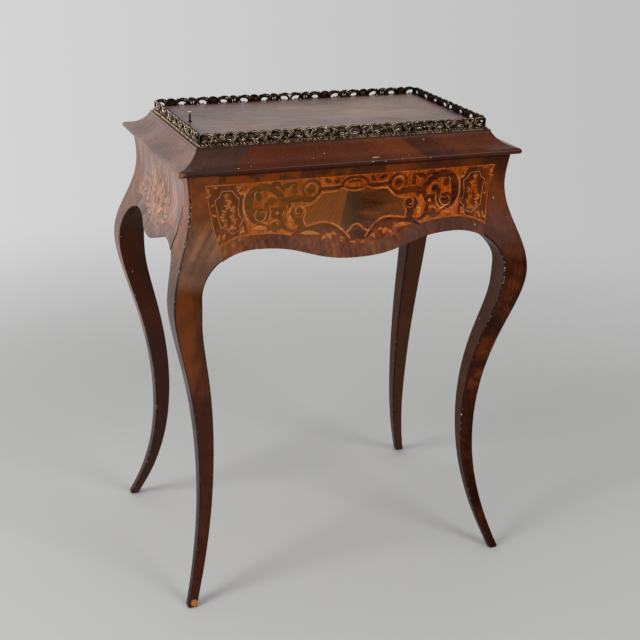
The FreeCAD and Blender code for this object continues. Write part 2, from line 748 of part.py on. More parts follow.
def make_lid():
    """Loose board on the ledge, with its upper edges softened."""
    half_x = WELL_X + LEDGE_WIDTH - LID_CLEARANCE
    half_y = WELL_Y + LEDGE_WIDTH - LID_CLEARANCE
    board = block(-half_x, half_x, -half_y, half_y, LEDGE_Z, LID_TOP)
    return board.makeFillet(LID_EDGE_ROUND, [edge for edge in board.Edges if edge.BoundBox.ZMin > RAIL_TOP])


def make_right_batten():
    half = WELL_Y - BATTEN_END_GAP
    start = BATTEN_OFFSET - BATTEN_WIDTH / 2
    return block(start, start + BATTEN_WIDTH, -half, half, BATTEN_Z, LEDGE_Z)


def batten_screws():
    half = WELL_Y - BATTEN_END_GAP
    places = [-half + BATTEN_WIDTH / 2, 0, half - BATTEN_WIDTH / 2]
    right = [screw(BATTEN_OFFSET, y, BATTEN_Z, BATTEN_THICKNESS + SCREW_BITE, 1) for y in places]
    return right + [to_left(piece) for piece in right]


def make_knob():
    """Turned metal knob with a mushroom head, its tang let into the lid."""
    shoulder = KNOB_HEIGHT - KNOB_HEAD_HEIGHT
    points = [(0, -KNOB_TANG), (KNOB_STEM_RADIUS, -KNOB_TANG), (KNOB_STEM_RADIUS, 0), (KNOB_COLLAR_RADIUS, 0),
              (KNOB_COLLAR_RADIUS, KNOB_COLLAR_HEIGHT), (KNOB_STEM_RADIUS, KNOB_COLLAR_HEIGHT * 2),
              (KNOB_STEM_RADIUS, shoulder), (KNOB_HEAD_RADIUS, shoulder + KNOB_HEAD_HEIGHT / 3),
              (KNOB_HEAD_RADIUS, shoulder + KNOB_HEAD_HEIGHT * 2 / 3), (KNOB_STEM_RADIUS, KNOB_HEIGHT),
              (0, KNOB_HEIGHT)]
    x = -(WELL_X + LEDGE_WIDTH - LID_CLEARANCE) + KNOB_FROM_LEFT
    return solid_of_revolution(points, Vector(x, 0, LID_TOP))


# Assembly: pieces of one side are mirrored to the opposite one, and what is let in is cut out

def save(name, shape):
    shape.exportStep(os.path.join("parts", name + ".step"))
    print(name, len(shape.Solids), shape.isValid(), round(shape.Volume))


def save_group(name, pieces):
    save(name, Part.Compound(pieces))


def save_both(name, back, right):
    """The back and right pieces, and their mirror images at the front and left."""
    save(name + "_back", back)
    save(name + "_front", to_front(back))
    save(name + "_right", right)
    save(name + "_left", to_left(right))


def save_sides(name, back, right, holes):
    """The same, with each side's own holes cut."""
    save(name + "_back", back.cut(holes["back"]))
    save(name + "_front", to_front(back).cut(holes["front"]))
    save(name + "_right", right.cut(holes["right"]))
    save(name + "_left", to_left(right).cut(holes["left"]))


os.makedirs("parts", exist_ok=True)

recesses = [panel_recess(BACK), panel_recess(RIGHT)]
leg = make_leg().cut(recesses)
save("leg_back_right", leg)
save("leg_back_left", to_left(leg))
save("leg_front_right", to_front(leg))
save("leg_front_left", to_front(to_left(leg)))

save_both("apron", make_apron(BACK, to_left), make_apron(RIGHT, to_front))
save_both("marquetry_panel", make_panel(BACK), make_panel(RIGHT))

pins = gallery_pins()
keys = at_four_corners(mitre_key())
rail_screws = top_screws()
let_in = keys + rail_screws
save_sides("top_rail", make_rail(BACK).cut(let_in), make_rail(RIGHT).cut(let_in), pins)
save_group("mitre_keys", keys)

save_both("gallery", make_back_gallery(), make_right_gallery())
save_sides("bead_strip", make_bead(BACK), make_bead(RIGHT), pins)
save_group("gallery_pins", pins["back"] + pins["front"] + pins["right"] + pins["left"])

save_group("glue_blocks", glue_blocks())
save_group("top_blocks", [piece.cut(rail_screws) for piece in top_blocks()])
save_group("top_block_screws", rail_screws)

cleat_screws = floor_screws()
save_both("floor_cleat", make_cleat(BACK).cut(cleat_screws), make_cleat(RIGHT))
save("case_floor", make_floor().cut(cleat_screws))
save_group("floor_screws", cleat_screws)

save("zinc_liner", make_liner())
save_group("liner_lugs", at_four_corners(make_lug()))
bail = make_bail()
save("liner_bail_right", bail)
save("liner_bail_left", to_left(bail))

knob = make_knob()
lid_screws = batten_screws()
right_batten = make_right_batten()
save("lid_panel", make_lid().cut([knob] + lid_screws))
save("lid_batten_right", right_batten.cut(lid_screws))
save("lid_batten_left", to_left(right_batten).cut(lid_screws))
save_group("lid_batten_screws", lid_screws)
save("lid_knob", knob)
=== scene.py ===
# %% [markdown]
# # A jardiniere table
#
# This lesson dresses a small marquetry table on cabriole legs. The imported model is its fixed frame: legs,
# aprons, moulded top, lid and zinc liner are there at their real size, in metres, on a floor at z = 0.
# Blender adds what the eye looks for: old polished veneers, inlaid scrolls and a cast gallery.

# %% Load the frame
import math

import bmesh
import bpy
from mathutils import Matrix, Vector
from mathutils.bvhtree import BVHTree


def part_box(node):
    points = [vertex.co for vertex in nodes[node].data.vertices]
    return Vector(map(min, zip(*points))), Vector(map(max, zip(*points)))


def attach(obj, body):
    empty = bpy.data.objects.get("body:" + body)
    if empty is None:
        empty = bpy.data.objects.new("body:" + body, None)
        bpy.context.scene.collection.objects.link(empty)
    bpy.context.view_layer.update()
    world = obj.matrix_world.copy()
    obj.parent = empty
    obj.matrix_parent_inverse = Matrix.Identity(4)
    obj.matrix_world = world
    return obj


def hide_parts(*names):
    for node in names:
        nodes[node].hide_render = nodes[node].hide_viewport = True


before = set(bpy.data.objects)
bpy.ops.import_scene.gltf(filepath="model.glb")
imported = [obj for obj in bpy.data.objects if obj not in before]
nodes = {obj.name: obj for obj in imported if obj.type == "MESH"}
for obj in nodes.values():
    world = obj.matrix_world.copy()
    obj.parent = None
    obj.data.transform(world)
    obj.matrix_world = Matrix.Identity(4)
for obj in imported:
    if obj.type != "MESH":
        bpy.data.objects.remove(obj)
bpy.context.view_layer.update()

MM = 0.001

# %% [markdown]
# ## Camera
#
# The table is looked at from its left front corner and a little from above, with a long lens. A camera
# looks along its own -Z, so we lift it by a right angle less the downward pitch, turn it about the
# upright axis, and give it the slight roll of a hand-levelled tripod.

# %% Camera
CAMERA_PLACE = (-0.7708, -1.9295, 1.2331)
CAMERA_YAW = 0.3869
CAMERA_PITCH = 0.3754
CAMERA_ROLL = 0.0285
CAMERA_LENS = 68.9
TABLE_MIDDLE = Vector((0, 0, 0.45))


def put_in_scene(name, data):
    made = bpy.data.objects.new(name, data)
    bpy.context.scene.collection.objects.link(made)
    return made


camera = put_in_scene("camera", bpy.data.cameras.new("camera"))
camera.data.lens = CAMERA_LENS
camera.matrix_world = (Matrix.Translation(CAMERA_PLACE) @ Matrix.Rotation(-CAMERA_YAW, 4, "Z")
                       @ Matrix.Rotation(math.pi / 2 - CAMERA_PITCH, 4, "X")
                       @ Matrix.Rotation(CAMERA_ROLL, 4, "Z"))
bpy.context.scene.camera = camera
bpy.context.scene.view_settings.view_transform = "Standard"
print("camera", round((camera.location - TABLE_MIDDLE).length, 2), "m from the table")

# %% [markdown]
# ## A short way to write nodes
#
# Every finish below is a tree of shader nodes. One class holds such a tree: it adds a node, sets its
# properties, links or fills its inputs, and has short names for the nodes that we use all the time.
# Colours are given as they look on a screen, 0 to 255, and turned into the light that a shader works in.

# %% Node helpers
def tint(red, green, blue):
    """A screen colour as linear light."""
    shares = [value / 255 for value in (red, green, blue)]
    linear = [share / 12.92 if share < 0.0405 else ((share + 0.055) / 1.055) ** 2.4 for share in shares]
    return (*linear, 1.0)


class Tree:
    """A tree of shader nodes, with short ways to add to it."""

    def __init__(self, tree):
        self.tree = tree

    def fill(self, sockets, values):
        """Fills sockets with values, or links them from other sockets."""
        for name, value in values.items():
            if isinstance(value, bpy.types.NodeSocket):
                self.tree.links.new(value, sockets[name])
            else:
                sockets[name].default_value = value

    def add(self, kind, inputs=None, **settings):
        """Adds a node and returns its outputs."""
        made = self.tree.nodes.new("ShaderNode" + kind)
        for name, value in settings.items():
            setattr(made, name, value)
        self.fill(made.inputs, inputs or {})
        return made.outputs

    def calc(self, operation, *values):
        return self.add("Math", dict(enumerate(values)), operation=operation)[0]

    def product(self, value, *factors):
        for factor in factors:
            value = self.calc("MULTIPLY", value, factor)
        return value

    def plus(self, start, value, factor):
        """A start value plus a value times a factor."""
        return self.calc("MULTIPLY_ADD", value, factor, start)

    def vector_math(self, operation, *vectors):
        return self.add("VectorMath", dict(enumerate(vectors)), operation=operation)

    def times(self, vector, factors):
        return self.vector_math("MULTIPLY", vector, factors)[0]

    def join(self, *parts):
        return self.add("CombineXYZ", dict(enumerate(parts)))[0]

    def ease(self, value, start, end, first=0.0, last=1.0, kind="SMOOTHSTEP"):
        """Goes from first to last as value goes from start to end."""
        inputs = {"Value": value, "From Min": start, "From Max": end, "To Min": first, "To Max": last}
        return self.add("MapRange", inputs, interpolation_type=kind)[0]

    def blend(self, factor, first, second, kind="MIX"):
        return self.add("Mix", {0: factor, 6: first, 7: second}, data_type="RGBA", blend_type=kind)[2]

    def noise(self, vector, scale, detail=2.0, output="Fac"):
        return self.add("TexNoise", {"Vector": vector, "Scale": scale, "Detail": detail})[output]

    def ramp(self, factor, *stops):
        """Colours that follow a value: each stop is a place from 0 to 1 and a screen colour."""
        colour = self.add("ValToRGB", {"Fac": factor})["Color"]
        elements = colour.node.color_ramp.elements
        while len(elements) < len(stops):
            elements.new(1.0)
        for element, (place, shade) in zip(elements, stops):
            element.position = place
            element.color = tint(*shade)
        return colour


class Surface(Tree):
    """A material in the making: its tree, its shader and the coordinates of the piece."""

    def __init__(self, name):
        self.material = bpy.data.materials.new(name)
        self.material.use_nodes = True
        super().__init__(self.material.node_tree)
        self.shader = self.tree.nodes["Principled BSDF"]
        coordinates = self.add("TexCoord")
        self.place = coordinates["Object"]
        self.normal = coordinates["Normal"]


print("helpers ready; mid brown is", [round(c, 3) for c in tint(100, 50, 25)])

# %% [markdown]
# ## Studio
#
# A pale floor fades into a pale surround, like a paper sweep. The surround is the world itself: lighter
# on the left, where a large window of light stands, and dark behind the camera, so that polished faces
# that look that way keep their deep colour while the side that mirrors the sweep turns grey. One soft
# lamp on the left and a weaker one in front on the right give the faint double shadows.

# %% World and floor
SURROUND_LEFT = 0.80
SURROUND_RIGHT = 0.40
SURROUND_BEHIND = 0.45
LEFT_TO_RIGHT = (-0.36, 0.98)
BEHIND_TO_AHEAD = (-0.7, 0.3)
FLOOR_COLOUR = (0.52, 0.52, 0.52 * 0.99, 1)
FLOOR_ROUGHNESS = 0.7
FLOOR_RADIUS = 6.0
FLOOR_FADE = (0.6, 2.15)

world = bpy.data.worlds.new("studio")
world.use_nodes = True
bpy.context.scene.world = world
sky = Tree(world.node_tree)
direction = sky.add("SeparateXYZ", {0: sky.add("TexCoord")["Generated"]})
surround = sky.ease(direction["X"], *LEFT_TO_RIGHT, SURROUND_LEFT, SURROUND_RIGHT, "LINEAR")
surround = sky.product(surround, sky.ease(direction["Y"], *BEHIND_TO_AHEAD, SURROUND_BEHIND, 1.0))
sky.fill(sky.tree.nodes["Background"].inputs, {"Color": surround})

paper = Surface("paper_sweep")
paper.fill(paper.shader.inputs, {"Base Color": FLOOR_COLOUR, "Roughness": FLOOR_ROUGHNESS})
fade = paper.ease(paper.vector_math("LENGTH", paper.place)["Value"], *FLOOR_FADE)
clear = paper.add("BsdfTransparent")[0]
mixed = paper.add("MixShader", {0: fade, 1: paper.shader.outputs[0], 2: clear})[0]
paper.fill(paper.tree.nodes["Material Output"].inputs, {"Surface": mixed})


def mesh_from(sheet, name):
    """Turns a finished bmesh into a mesh."""
    mesh = bpy.data.meshes.new(name)
    sheet.to_mesh(mesh)
    sheet.free()
    return mesh


sheet = bmesh.new()
bmesh.ops.create_circle(sheet, cap_ends=True, segments=96, radius=FLOOR_RADIUS)
floor = put_in_scene("floor", mesh_from(sheet, "floor"))
floor.data.materials.append(paper.material)
print("floor of", FLOOR_RADIUS, "m radius, fading from", FLOOR_FADE[0], "m")

# %% Lamps
LAMPS = {  # place, width in metres, power in watts
    "left_lamp": ((-2.6, -0.55, 1.9), 1.3, 46),
    "front_lamp": ((1.5, -2.7, 2.2), 1.6, 44)}

for name, (place, width, power) in LAMPS.items():
    lamp = put_in_scene(name, bpy.data.lights.new(name, "AREA"))
    lamp.data.shape = "DISK"
    lamp.data.size = width
    lamp.data.energy = power
    lamp.location = place
    lamp.rotation_euler = (TABLE_MIDDLE - Vector(place)).to_track_quat("-Z", "Y").to_euler()
print(len(LAMPS), "soft lamps")

# %% [markdown]
# ## Effects that several finishes share
#
# Old veneer is never one colour: it has fine streaks along the grain, broad figure, open pores, a polish
# that is cloudy and scratched, pale flecks, and rubbed edges. Each of these is a node
# group with named sockets, built once, and each wood below places them with its own values.

# %% Grain
BEND_SCALE = 9.0
FIGURE_STRETCH = 0.4
PORE_SHAPE = (1.5, 2.5, 2.5)
PORE_EDGE = (0.60, 0.74)


def effect(name, inputs, outputs):
    """An empty group with named sockets; returns its tree, its inputs and its outputs."""
    group = bpy.data.node_groups.new(name, "ShaderNodeTree")
    for socket in inputs:
        kind = "NodeSocketVector" if socket in ("Vector", "Normal") else "NodeSocketFloat"
        group.interface.new_socket(socket, in_out="INPUT", socket_type=kind)
    for socket in outputs:
        group.interface.new_socket(socket, in_out="OUTPUT", socket_type="NodeSocketFloat")
    return Tree(group), group.nodes.new("NodeGroupInput").outputs, group.nodes.new("NodeGroupOutput").inputs


def make_grain():
    """Streaks, broad figure and pores of a veneer whose grain runs along the vector's X."""
    tree, given, out = effect("veneer_grain", ("Vector", "Length", "Width", "Figure", "Bend"),
                              ("Streaks", "Figure", "Pores"))
    bends = tree.noise(given["Vector"], BEND_SCALE, 2.0, "Color")
    shift = tree.vector_math("SUBTRACT", bends, (0.5, 0.5, 0.5))[0]
    sway = tree.times(shift, tree.join(0.0, given["Bend"], given["Bend"]))
    wavy = tree.vector_math("ADD", sway, given["Vector"])[0]
    along, across, patch = [tree.calc("DIVIDE", 1.0, given[size]) for size in ("Length", "Width", "Figure")]
    fibres = tree.times(wavy, tree.join(along, across, across))
    broad = tree.times(wavy, tree.join(tree.product(patch, FIGURE_STRETCH), patch, patch))
    pores = tree.noise(tree.times(fibres, PORE_SHAPE), 1.0, 1.0)
    tree.fill(out, {"Streaks": tree.noise(fibres, 1.0, 4.0), "Figure": tree.noise(broad, 1.0, 3.0),
                    "Pores": tree.ease(pores, *PORE_EDGE)})
    return tree.tree


GRAIN = make_grain()
print("effect:", GRAIN.name)

# %% Flecks, polish, strips and rubbed corners
FLECK_CELLS = 55.0
FLECK_EDGE = (0.040, 0.070)
FLECK_WARP = 300.0
FLECK_SHIFT = (0.004, 0.004, 0.004)
CLOUDS = 14.0
RIPPLES = 60.0
HAIR_SHAPE = (40.0, 1100.0, 700.0)
HAIR_EDGE = (0.62, 0.72)
SEAM_EDGE = (0.487, 0.499)
CORNER_EDGE = (0.18, 0.5)
KNOCKS = 130.0
KNOCK_EDGE = (0.60, 0.68)


def make_flecks():
    """Small pale specks: dots of a cell pattern, kept only in some cells."""
    tree, given, out = effect("pale_flecks", ("Vector", "Share"), ("Mask",))
    shift = tree.times(tree.noise(given["Vector"], FLECK_WARP, 2.0, "Color"), FLECK_SHIFT)
    warped = tree.vector_math("ADD", given["Vector"], shift)[0]
    cells = tree.add("TexVoronoi", {"Vector": warped, "Scale": FLECK_CELLS})
    chance = tree.add("SeparateColor", {0: cells["Color"]})[0]
    chosen = tree.calc("LESS_THAN", chance, given["Share"])
    tree.fill(out, {"Mask": tree.product(tree.ease(cells["Distance"], *FLECK_EDGE, 1.0, 0.0), chosen)})
    return tree.tree


def make_polish():
    """Cloudy polish with fine scratches: how dull it is, and its height."""
    tree, given, out = effect("old_polish", ("Vector",), ("Dullness", "Height"))
    hairs = tree.noise(tree.times(given["Vector"], HAIR_SHAPE), 1.0, 1.0)
    scratches = tree.ease(hairs, *HAIR_EDGE)
    tree.fill(out, {"Dullness": tree.plus(tree.noise(given["Vector"], CLOUDS, 4.0), scratches, 0.35),
                    "Height": tree.plus(tree.noise(given["Vector"], RIPPLES), scratches, -0.25)})
    return tree.tree


def make_strips():
    """Veneer laid in strips side by side: a tone for each strip, and the dark seams between them."""
    tree, given, out = effect("veneer_strips", ("Place", "Width"), ("Tone", "Seam"))
    count = tree.calc("DIVIDE", given["Place"], given["Width"])
    whole = tree.calc("FLOOR", count)
    tone = tree.add("TexWhiteNoise", {"W": whole}, noise_dimensions="1D")["Value"]
    part = tree.calc("ABSOLUTE", tree.calc("SUBTRACT", tree.calc("SUBTRACT", count, whole), 0.5))
    tree.fill(out, {"Tone": tone, "Seam": tree.ease(part, *SEAM_EDGE)})
    return tree.tree


def make_rub():
    """Upright corners, where the surface turns from one face to the next, broken up by knocks."""
    tree, given, out = effect("rubbed_corners", ("Normal", "Vector"), ("Corner", "Chips"))
    parts = tree.add("SeparateXYZ", {0: given["Normal"]})
    least = tree.calc("MINIMUM", *[tree.calc("ABSOLUTE", parts[axis]) for axis in "XY"])
    corner = tree.ease(least, *CORNER_EDGE)
    knocks = tree.ease(tree.noise(given["Vector"], KNOCKS, 3.0), *KNOCK_EDGE)
    tree.fill(out, {"Corner": corner, "Chips": tree.product(corner, knocks)})
    return tree.tree


FLECKS = make_flecks()
POLISH = make_polish()
STRIPS = make_strips()
RUB = make_rub()
print("effects:", [group.name for group in bpy.data.node_groups])

# %% [markdown]
# ## Polished veneers
#
# Rosewood, walnut and burr differ in colour and figure, but they are made alike: figure picks the colour,
# streaks and pores darken it along the grain, and the polish decides the gloss. One class lays such
# a wood, with the grain along whichever axis the veneer was cut. Each finish then shades and stains the
# colour with its own seams, wear, dirt, painted shade and painted highlights, under one mask or several,
# before the polish goes on.

# %% Veneer maker
UPRIGHT = ("Z", "X", "Y")
LENGTHWISE = ("X", "Y", "Z")
SIDEWAYS = ("Y", "X", "Z")
FIGURE_STOPS = (0.30, 0.50, 0.70)
STREAK_EDGE = (0.30, 0.72)
STREAK_TONES = (0.62, 1.25)
PORE_STRENGTH = 0.45
PORE_DEPTH = -0.4
RELIEF = 0.0006
RAGGED = 160.0
STREAK_WAVES = 14.0
STREAK_SWAY = 0.03
DULLNESS_EDGE = (0.3, 0.9)
DIRT_DULLNESS = 0.5
FLECK_TONE = (205, 195, 180)


class Veneer(Surface):
    """A polished wood in the making, and its colour so far."""

    def __init__(self, name, axes, tones, length, width, figure, bend=0.03):
        super().__init__(name)
        self.parts = self.add("SeparateXYZ", {0: self.place})
        self.grain_way = self.join(*[self.parts[axis] for axis in axes])
        sizes = {"Length": length, "Width": width, "Figure": figure, "Bend": bend}
        grain = self.add("Group", {"Vector": self.grain_way, **sizes}, node_tree=GRAIN)
        self.figure = grain["Figure"]
        self.streaks = grain["Streaks"]
        self.pores = grain["Pores"]
        self.colour = self.ramp(self.figure, *zip(FIGURE_STOPS, tones))
        self.shade(self.ease(self.streaks, *STREAK_EDGE, *STREAK_TONES))
        self.stain(tones[0], self.pores, PORE_STRENGTH)

    def shade(self, amount, mask=None):
        """Multiplies the colour by a value that changes over the surface, everywhere or under a mask."""
        if mask is not None:
            amount = self.plus(1.0, mask, self.calc("SUBTRACT", amount, 1.0))
        grey = self.add("CombineColor", {0: amount, 1: amount, 2: amount})[0]
        self.colour = self.blend(1.0, self.colour, grey, "MULTIPLY")

    def stain(self, colour, *masks):
        """Lays a colour over the wood, as strong as all the masks together say."""
        if not isinstance(colour, bpy.types.NodeSocket):
            colour = tint(*colour)
        self.colour = self.blend(self.product(*masks), self.colour, colour)

    def near(self, point, radius, stretch=(1.0, 1.0, 1.0)):
        """A mask round a point, with a ragged edge; a stretch below 1 makes it longer that way."""
        gap = self.times(self.vector_math("SUBTRACT", self.place, point)[0], stretch)
        gap = self.vector_math("LENGTH", gap)["Value"]
        ragged = self.plus(gap, self.noise(self.place, RAGGED, 3.0), radius)
        return self.ease(ragged, radius * 1.25, radius * 1.6, 1.0, 0.0)

    def band(self, start, end, soft):
        """A mask between two heights, with a soft edge."""
        rise = self.ease(self.parts["Z"], start - soft, start + soft)
        return self.product(rise, self.ease(self.parts["Z"], end - soft, end + soft, 1.0, 0.0))

    def patches(self, scale, detail, start, end, first=0.0, last=1.0):
        """Cloudy patches that go from first to last."""
        return self.ease(self.noise(self.place, scale, detail), start, end, first, last)

    def slant(self, slope, fineness, start, end, first, last):
        """Wavy streaks that rise along X with a given slope and go from first to last."""
        level = self.plus(self.parts["Z"], self.parts["X"], -slope)
        level = self.plus(level, self.noise(self.place, STREAK_WAVES), STREAK_SWAY)
        lines = self.join(level, self.product(self.parts["Z"], 0.1))
        return self.ease(self.noise(lines, fineness, 4.0), start, end, first, last)

    def flecks(self, share):
        """Pale flecks, in a share of the cells."""
        flecks = self.add("Group", {"Vector": self.place, "Share": share}, node_tree=FLECKS)
        self.stain(FLECK_TONE, flecks["Mask"])

    def polish(self, gloss, dull, shine=0.28, bump=0.15, grime_and_shade=None):
        """Feeds the shader: roughness from gloss to dull, more under grime and painted shade, and an uneven
        surface.
        """
        polish = self.add("Group", {"Vector": self.grain_way}, node_tree=POLISH)
        roughness = self.ease(polish["Dullness"], *DULLNESS_EDGE, gloss, dull)
        if grime_and_shade is not None:
            roughness = self.plus(roughness, grime_and_shade, DIRT_DULLNESS)
        height = self.plus(polish["Height"], self.pores, PORE_DEPTH)
        relief = self.add("Bump", {"Height": height, "Strength": bump, "Distance": RELIEF})[0]
        self.fill(self.shader.inputs, {"Base Color": self.colour, "Roughness": roughness, "Normal": relief,
                                       "Specular IOR Level": shine})
        return self.material


def dress(material, *names):
    """Gives pieces of the frame a finish."""
    for name in names:
        for place in nodes[name].material_slots:
            place.material = material


print("veneer maker ready")

# %% [markdown]
# ## Legs
#
# The legs are veneered over a sawn core. The left knees carry a greyer piece whose streaks run aslant;
# below it the wood is orange brown for a hand's breadth, then a dark red brown that deepens towards the
# foot. The right legs are dark, with a few glowing patches, and their post tops are painted nearly black,
# a painted shade under the moulding. The inner faces are plain. The corners are knocked, most of all the
# front left one, and its toe shows the raw wood.

# %% Leg tones
KNEE_SEAM = 0.571
KNEE_BLEND = (KNEE_SEAM - 0.008, KNEE_SEAM + 0.016)
LEFT_LEGS = ((40, 19, 12), (70, 33, 16), (104, 52, 21))
RIGHT_LEGS = ((38, 16, 10), (66, 28, 14), (100, 45, 19))
# stains that grow from one height to another: both heights, strength, colour
LEFT_HEIGHTS = ((0.635, 0.705, 0.8, (124, 58, 15)), (0.39, 0.33, 0.5, (90, 38, 16)))
# on the right legs the second stain is a painted shade: it darkens the post tops under the moulding
RIGHT_HEIGHTS = ((0.64, 0.69, 0.55, (114, 52, 17)), (0.703, 0.728, 0.75, (46, 25, 17)))
GREY_KNEE = (140, 96, 64)
# bands between two heights, with the softness of their edges
GREY_BAND = (KNEE_SEAM, 0.62, 0.015)
SHIN_GLOW = (0.37, KNEE_SEAM, 0.03)
# glowing patches: height, reach up and down, strength
EMBERS = ((0.396, 0.020, 0.42), (0.330, 0.014, 0.75), (0.160, 0.030, 0.22), (0.064, 0.014, 0.35))
EMBER_SOFT = 0.014
EMBER_PATCHES = (38.0, 3.0, 0.34, 0.62)


def leg_tones(wood, knee, faded):
    """Stains that follow the height of a leg, on the faded left legs or on the dark right ones."""
    if faded:
        wood.stain((98, 66, 56), wood.band(*GREY_BAND), 0.35)
        wood.stain((132, 62, 14), wood.band(*SHIN_GLOW), wood.ease(wood.figure, 0.35, 0.6, 0.25, 0.9))
    else:
        wood.stain((102, 55, 36), knee, 0.55)
        patches = wood.patches(*EMBER_PATCHES)
        for level, reach, strength in EMBERS:
            wood.stain((146, 66, 18), wood.band(level - reach, level + reach, EMBER_SOFT), patches, strength)
    # on the right legs the last of these is the painted shade on the post tops
    for start, end, strength, colour in (LEFT_HEIGHTS if faded else RIGHT_HEIGHTS):
        wood.stain(colour, wood.ease(wood.parts["Z"], start, end, 0.0, strength))


print("knee seam at", KNEE_SEAM, "m,", len(EMBERS), "glowing patches on the right legs")

# %% Leg knocks
KNOCKED = (0.53, 0.71, 0.01)
RIGHT_KNOCKED = (0.495, 0.575, 0.01)
SHADED_BELOW = (0.62, 0.56)
BARE_CORE = (38, 31, 29)
BARE_PATCHES = (90.0, 4.0, 0.40, 0.52, 0.4, 1.0)
PALE_SPECKS = (158, 150, 144)
TOE_CHIP = (0.0250, 0.002, 0.008)
TOE_CHIP_RADIUS = 0.0066
RIGHT_TOE_CHIP = (0.004, 0.004, 0.014)
RIGHT_TOE_RADIUS = 0.0032


def left_knocks(wood, outward, specks):
    """The battered corner of the front left leg, the shade on its outer face and its bare toe."""
    front = wood.ease(wood.parts["Y"], 0.0, -0.01)
    outer = wood.product(wood.ease(outward["X"], 0.04, 0.08), wood.ease(outward["Y"], 0.02, 0.05))
    knocked = wood.product(outer, front, wood.band(*KNOCKED))
    wood.stain(BARE_CORE, knocked, wood.patches(*BARE_PATCHES))
    wood.stain(PALE_SPECKS, knocked, specks)
    below = wood.ease(wood.parts["Z"], *SHADED_BELOW, 0.0, 0.75)
    wood.stain((40, 26, 24), wood.ease(outward["X"], 0.12, 0.20), below, front)
    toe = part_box("leg_front_left")[0] + Vector(TOE_CHIP)
    wood.stain((184, 108, 48), wood.near(toe, TOE_CHIP_RADIUS))


def right_knocks(wood, corner, specks):
    """Pale knocks on the corners of the right knees, and a chip at the front right toe."""
    wood.stain(PALE_SPECKS, corner, wood.band(*RIGHT_KNOCKED), specks)
    low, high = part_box("leg_front_right")
    toe = Vector((high.x - RIGHT_TOE_CHIP[0], low.y + RIGHT_TOE_CHIP[1], RIGHT_TOE_CHIP[2]))
    wood.stain((190, 138, 92), wood.near(toe, RIGHT_TOE_RADIUS))


print("knocks from", KNOCKED[0], "to", KNOCKED[1], "m on the left,", RIGHT_KNOCKED[:2], "on the right")

# %% Leg veneer
CORNERS = ("front_left", "front_right", "back_left", "back_right")
LEG_GRAIN = (0.055, 0.0032, 0.055)
KNEE_STREAKS = (1.6, 36.0, 0.35, 0.65, 0.74, 1.28)
SHIN_STREAKS = (-0.6, 60.0, 0.36, 0.66, 0.68, 1.2)
KNEE_MOTTLE = (48.0, 4.0, 0.32, 0.66, 0.78, 1.22)
SPECKS = ((260.0, 3.0, 0.55, 0.62), (60.0, 1.0, 0.46, 0.54))
DARK_FOOT = (0.05, 0.45, 0.55, 1.0)
LEFT_INNER = (54, 27, 17)
RIGHT_INNER = (74, 45, 32)
EDGE_DIRT = (30, 17, 13)
EDGE_CHIPS = (124, 108, 98)


def leg_veneer(name, tones, faded, shine):
    wood = Veneer(name, UPRIGHT, tones, *LEG_GRAIN)
    height = wood.parts["Z"]
    knee = wood.ease(height, *KNEE_BLEND)
    below = wood.ease(height, *KNEE_BLEND, 1.0, 0.0)
    if faded:
        wood.stain(GREY_KNEE, knee, 0.6)
    wood.shade(wood.slant(*KNEE_STREAKS), knee)
    wood.shade(wood.slant(*SHIN_STREAKS), below)
    leg_tones(wood, knee, faded)
    wood.shade(wood.patches(*KNEE_MOTTLE), knee)
    wood.shade(wood.ease(height, *DARK_FOOT))
    outward = wood.add("SeparateXYZ", {0: wood.times(wood.normal, wood.place)})
    inner = [wood.ease(outward[axis], -0.03, turned) for axis, turned in (("X", -0.12), ("Y", -0.10))]
    wood.stain(LEFT_INNER if faded else RIGHT_INNER, wood.calc("MAXIMUM", *inner), 0.85)
    rub = wood.add("Group", {"Normal": wood.normal, "Vector": wood.place}, node_tree=RUB)
    wood.stain(EDGE_DIRT, rub["Corner"], 0.85)
    wood.stain(EDGE_CHIPS, rub["Chips"], 0.7)
    specks = wood.product(*[wood.patches(*values) for values in SPECKS])
    if faded:
        left_knocks(wood, outward, specks)
    else:
        right_knocks(wood, rub["Corner"], specks)
    wood.flecks(share=0.22)
    return wood.polish(gloss=0.20, dull=0.42, shine=shine)


dress(leg_veneer("leg_veneer_left", LEFT_LEGS, True, 0.16), "leg_front_left", "leg_back_left")
dress(leg_veneer("leg_veneer_right", RIGHT_LEGS, False, 0.05), "leg_front_right", "leg_back_right")
print(len(CORNERS), "legs dressed")

# %% [markdown]
# ## Aprons
#
# The bands of veneer round the marquetry are laid in short pieces that differ in tone, with the grain
# aslant: it rises towards the middle from both ends. A strip effect cuts the pieces, along X on the long
# sides and along Y on the short ones. Every apron is darkened under the moulding, a painted shade. The long
# aprons are darker to the right, and the strip above their marquetry glows in patches and has a painted
# shadow where it meets the nose of the top.

# %% Apron crossbanding
SIDES = ("front", "back", "left", "right")
LONG_SIDES = ("front", "back")
SHORT_SIDES = ("left", "right")
APRON_GRAIN = (0.03, 0.007, 0.05)
PIECE_LENGTH = 0.043
GRAIN_SLOPE = 0.7
GRAIN_LINES = 170.0
SEAM_SLOPE = 0.5
SEAM_WAVES = 12.0
SEAM_SWAY = 0.02
SEAM_DIRT = (30, 16, 11)
UNDER_TOP = (0.724, 0.736)
STRIP_TONE = (82, 39, 20)
STRIP_GLOW = (0.02, 0.15, 0.8, 0.25)
GLOW_TONE = (140, 65, 13)
GLOW_PATCHES = (26.0, 3.0, 0.44, 0.56)
DARK_END = (0.02, 0.075, 0.0, 0.48)
DARK_TONE = (64, 25, 11)
LIGHT_END = (-0.03, -0.06, 1.0, 1.10)
UNDER_NOSE_SHADE = (0.7425, 0.7445, 0.0, 0.75)
UNDER_NOSE_SHADE_TONE = (58, 28, 19)
APRON_LONG = ((82, 42, 24), (108, 57, 31), (132, 74, 38))
APRON_SHORT = ((72, 46, 38), (102, 70, 58), (126, 88, 72))


def every(piece, sides):
    """Names of a piece on several sides."""
    return [piece + "_" + side for side in sides]


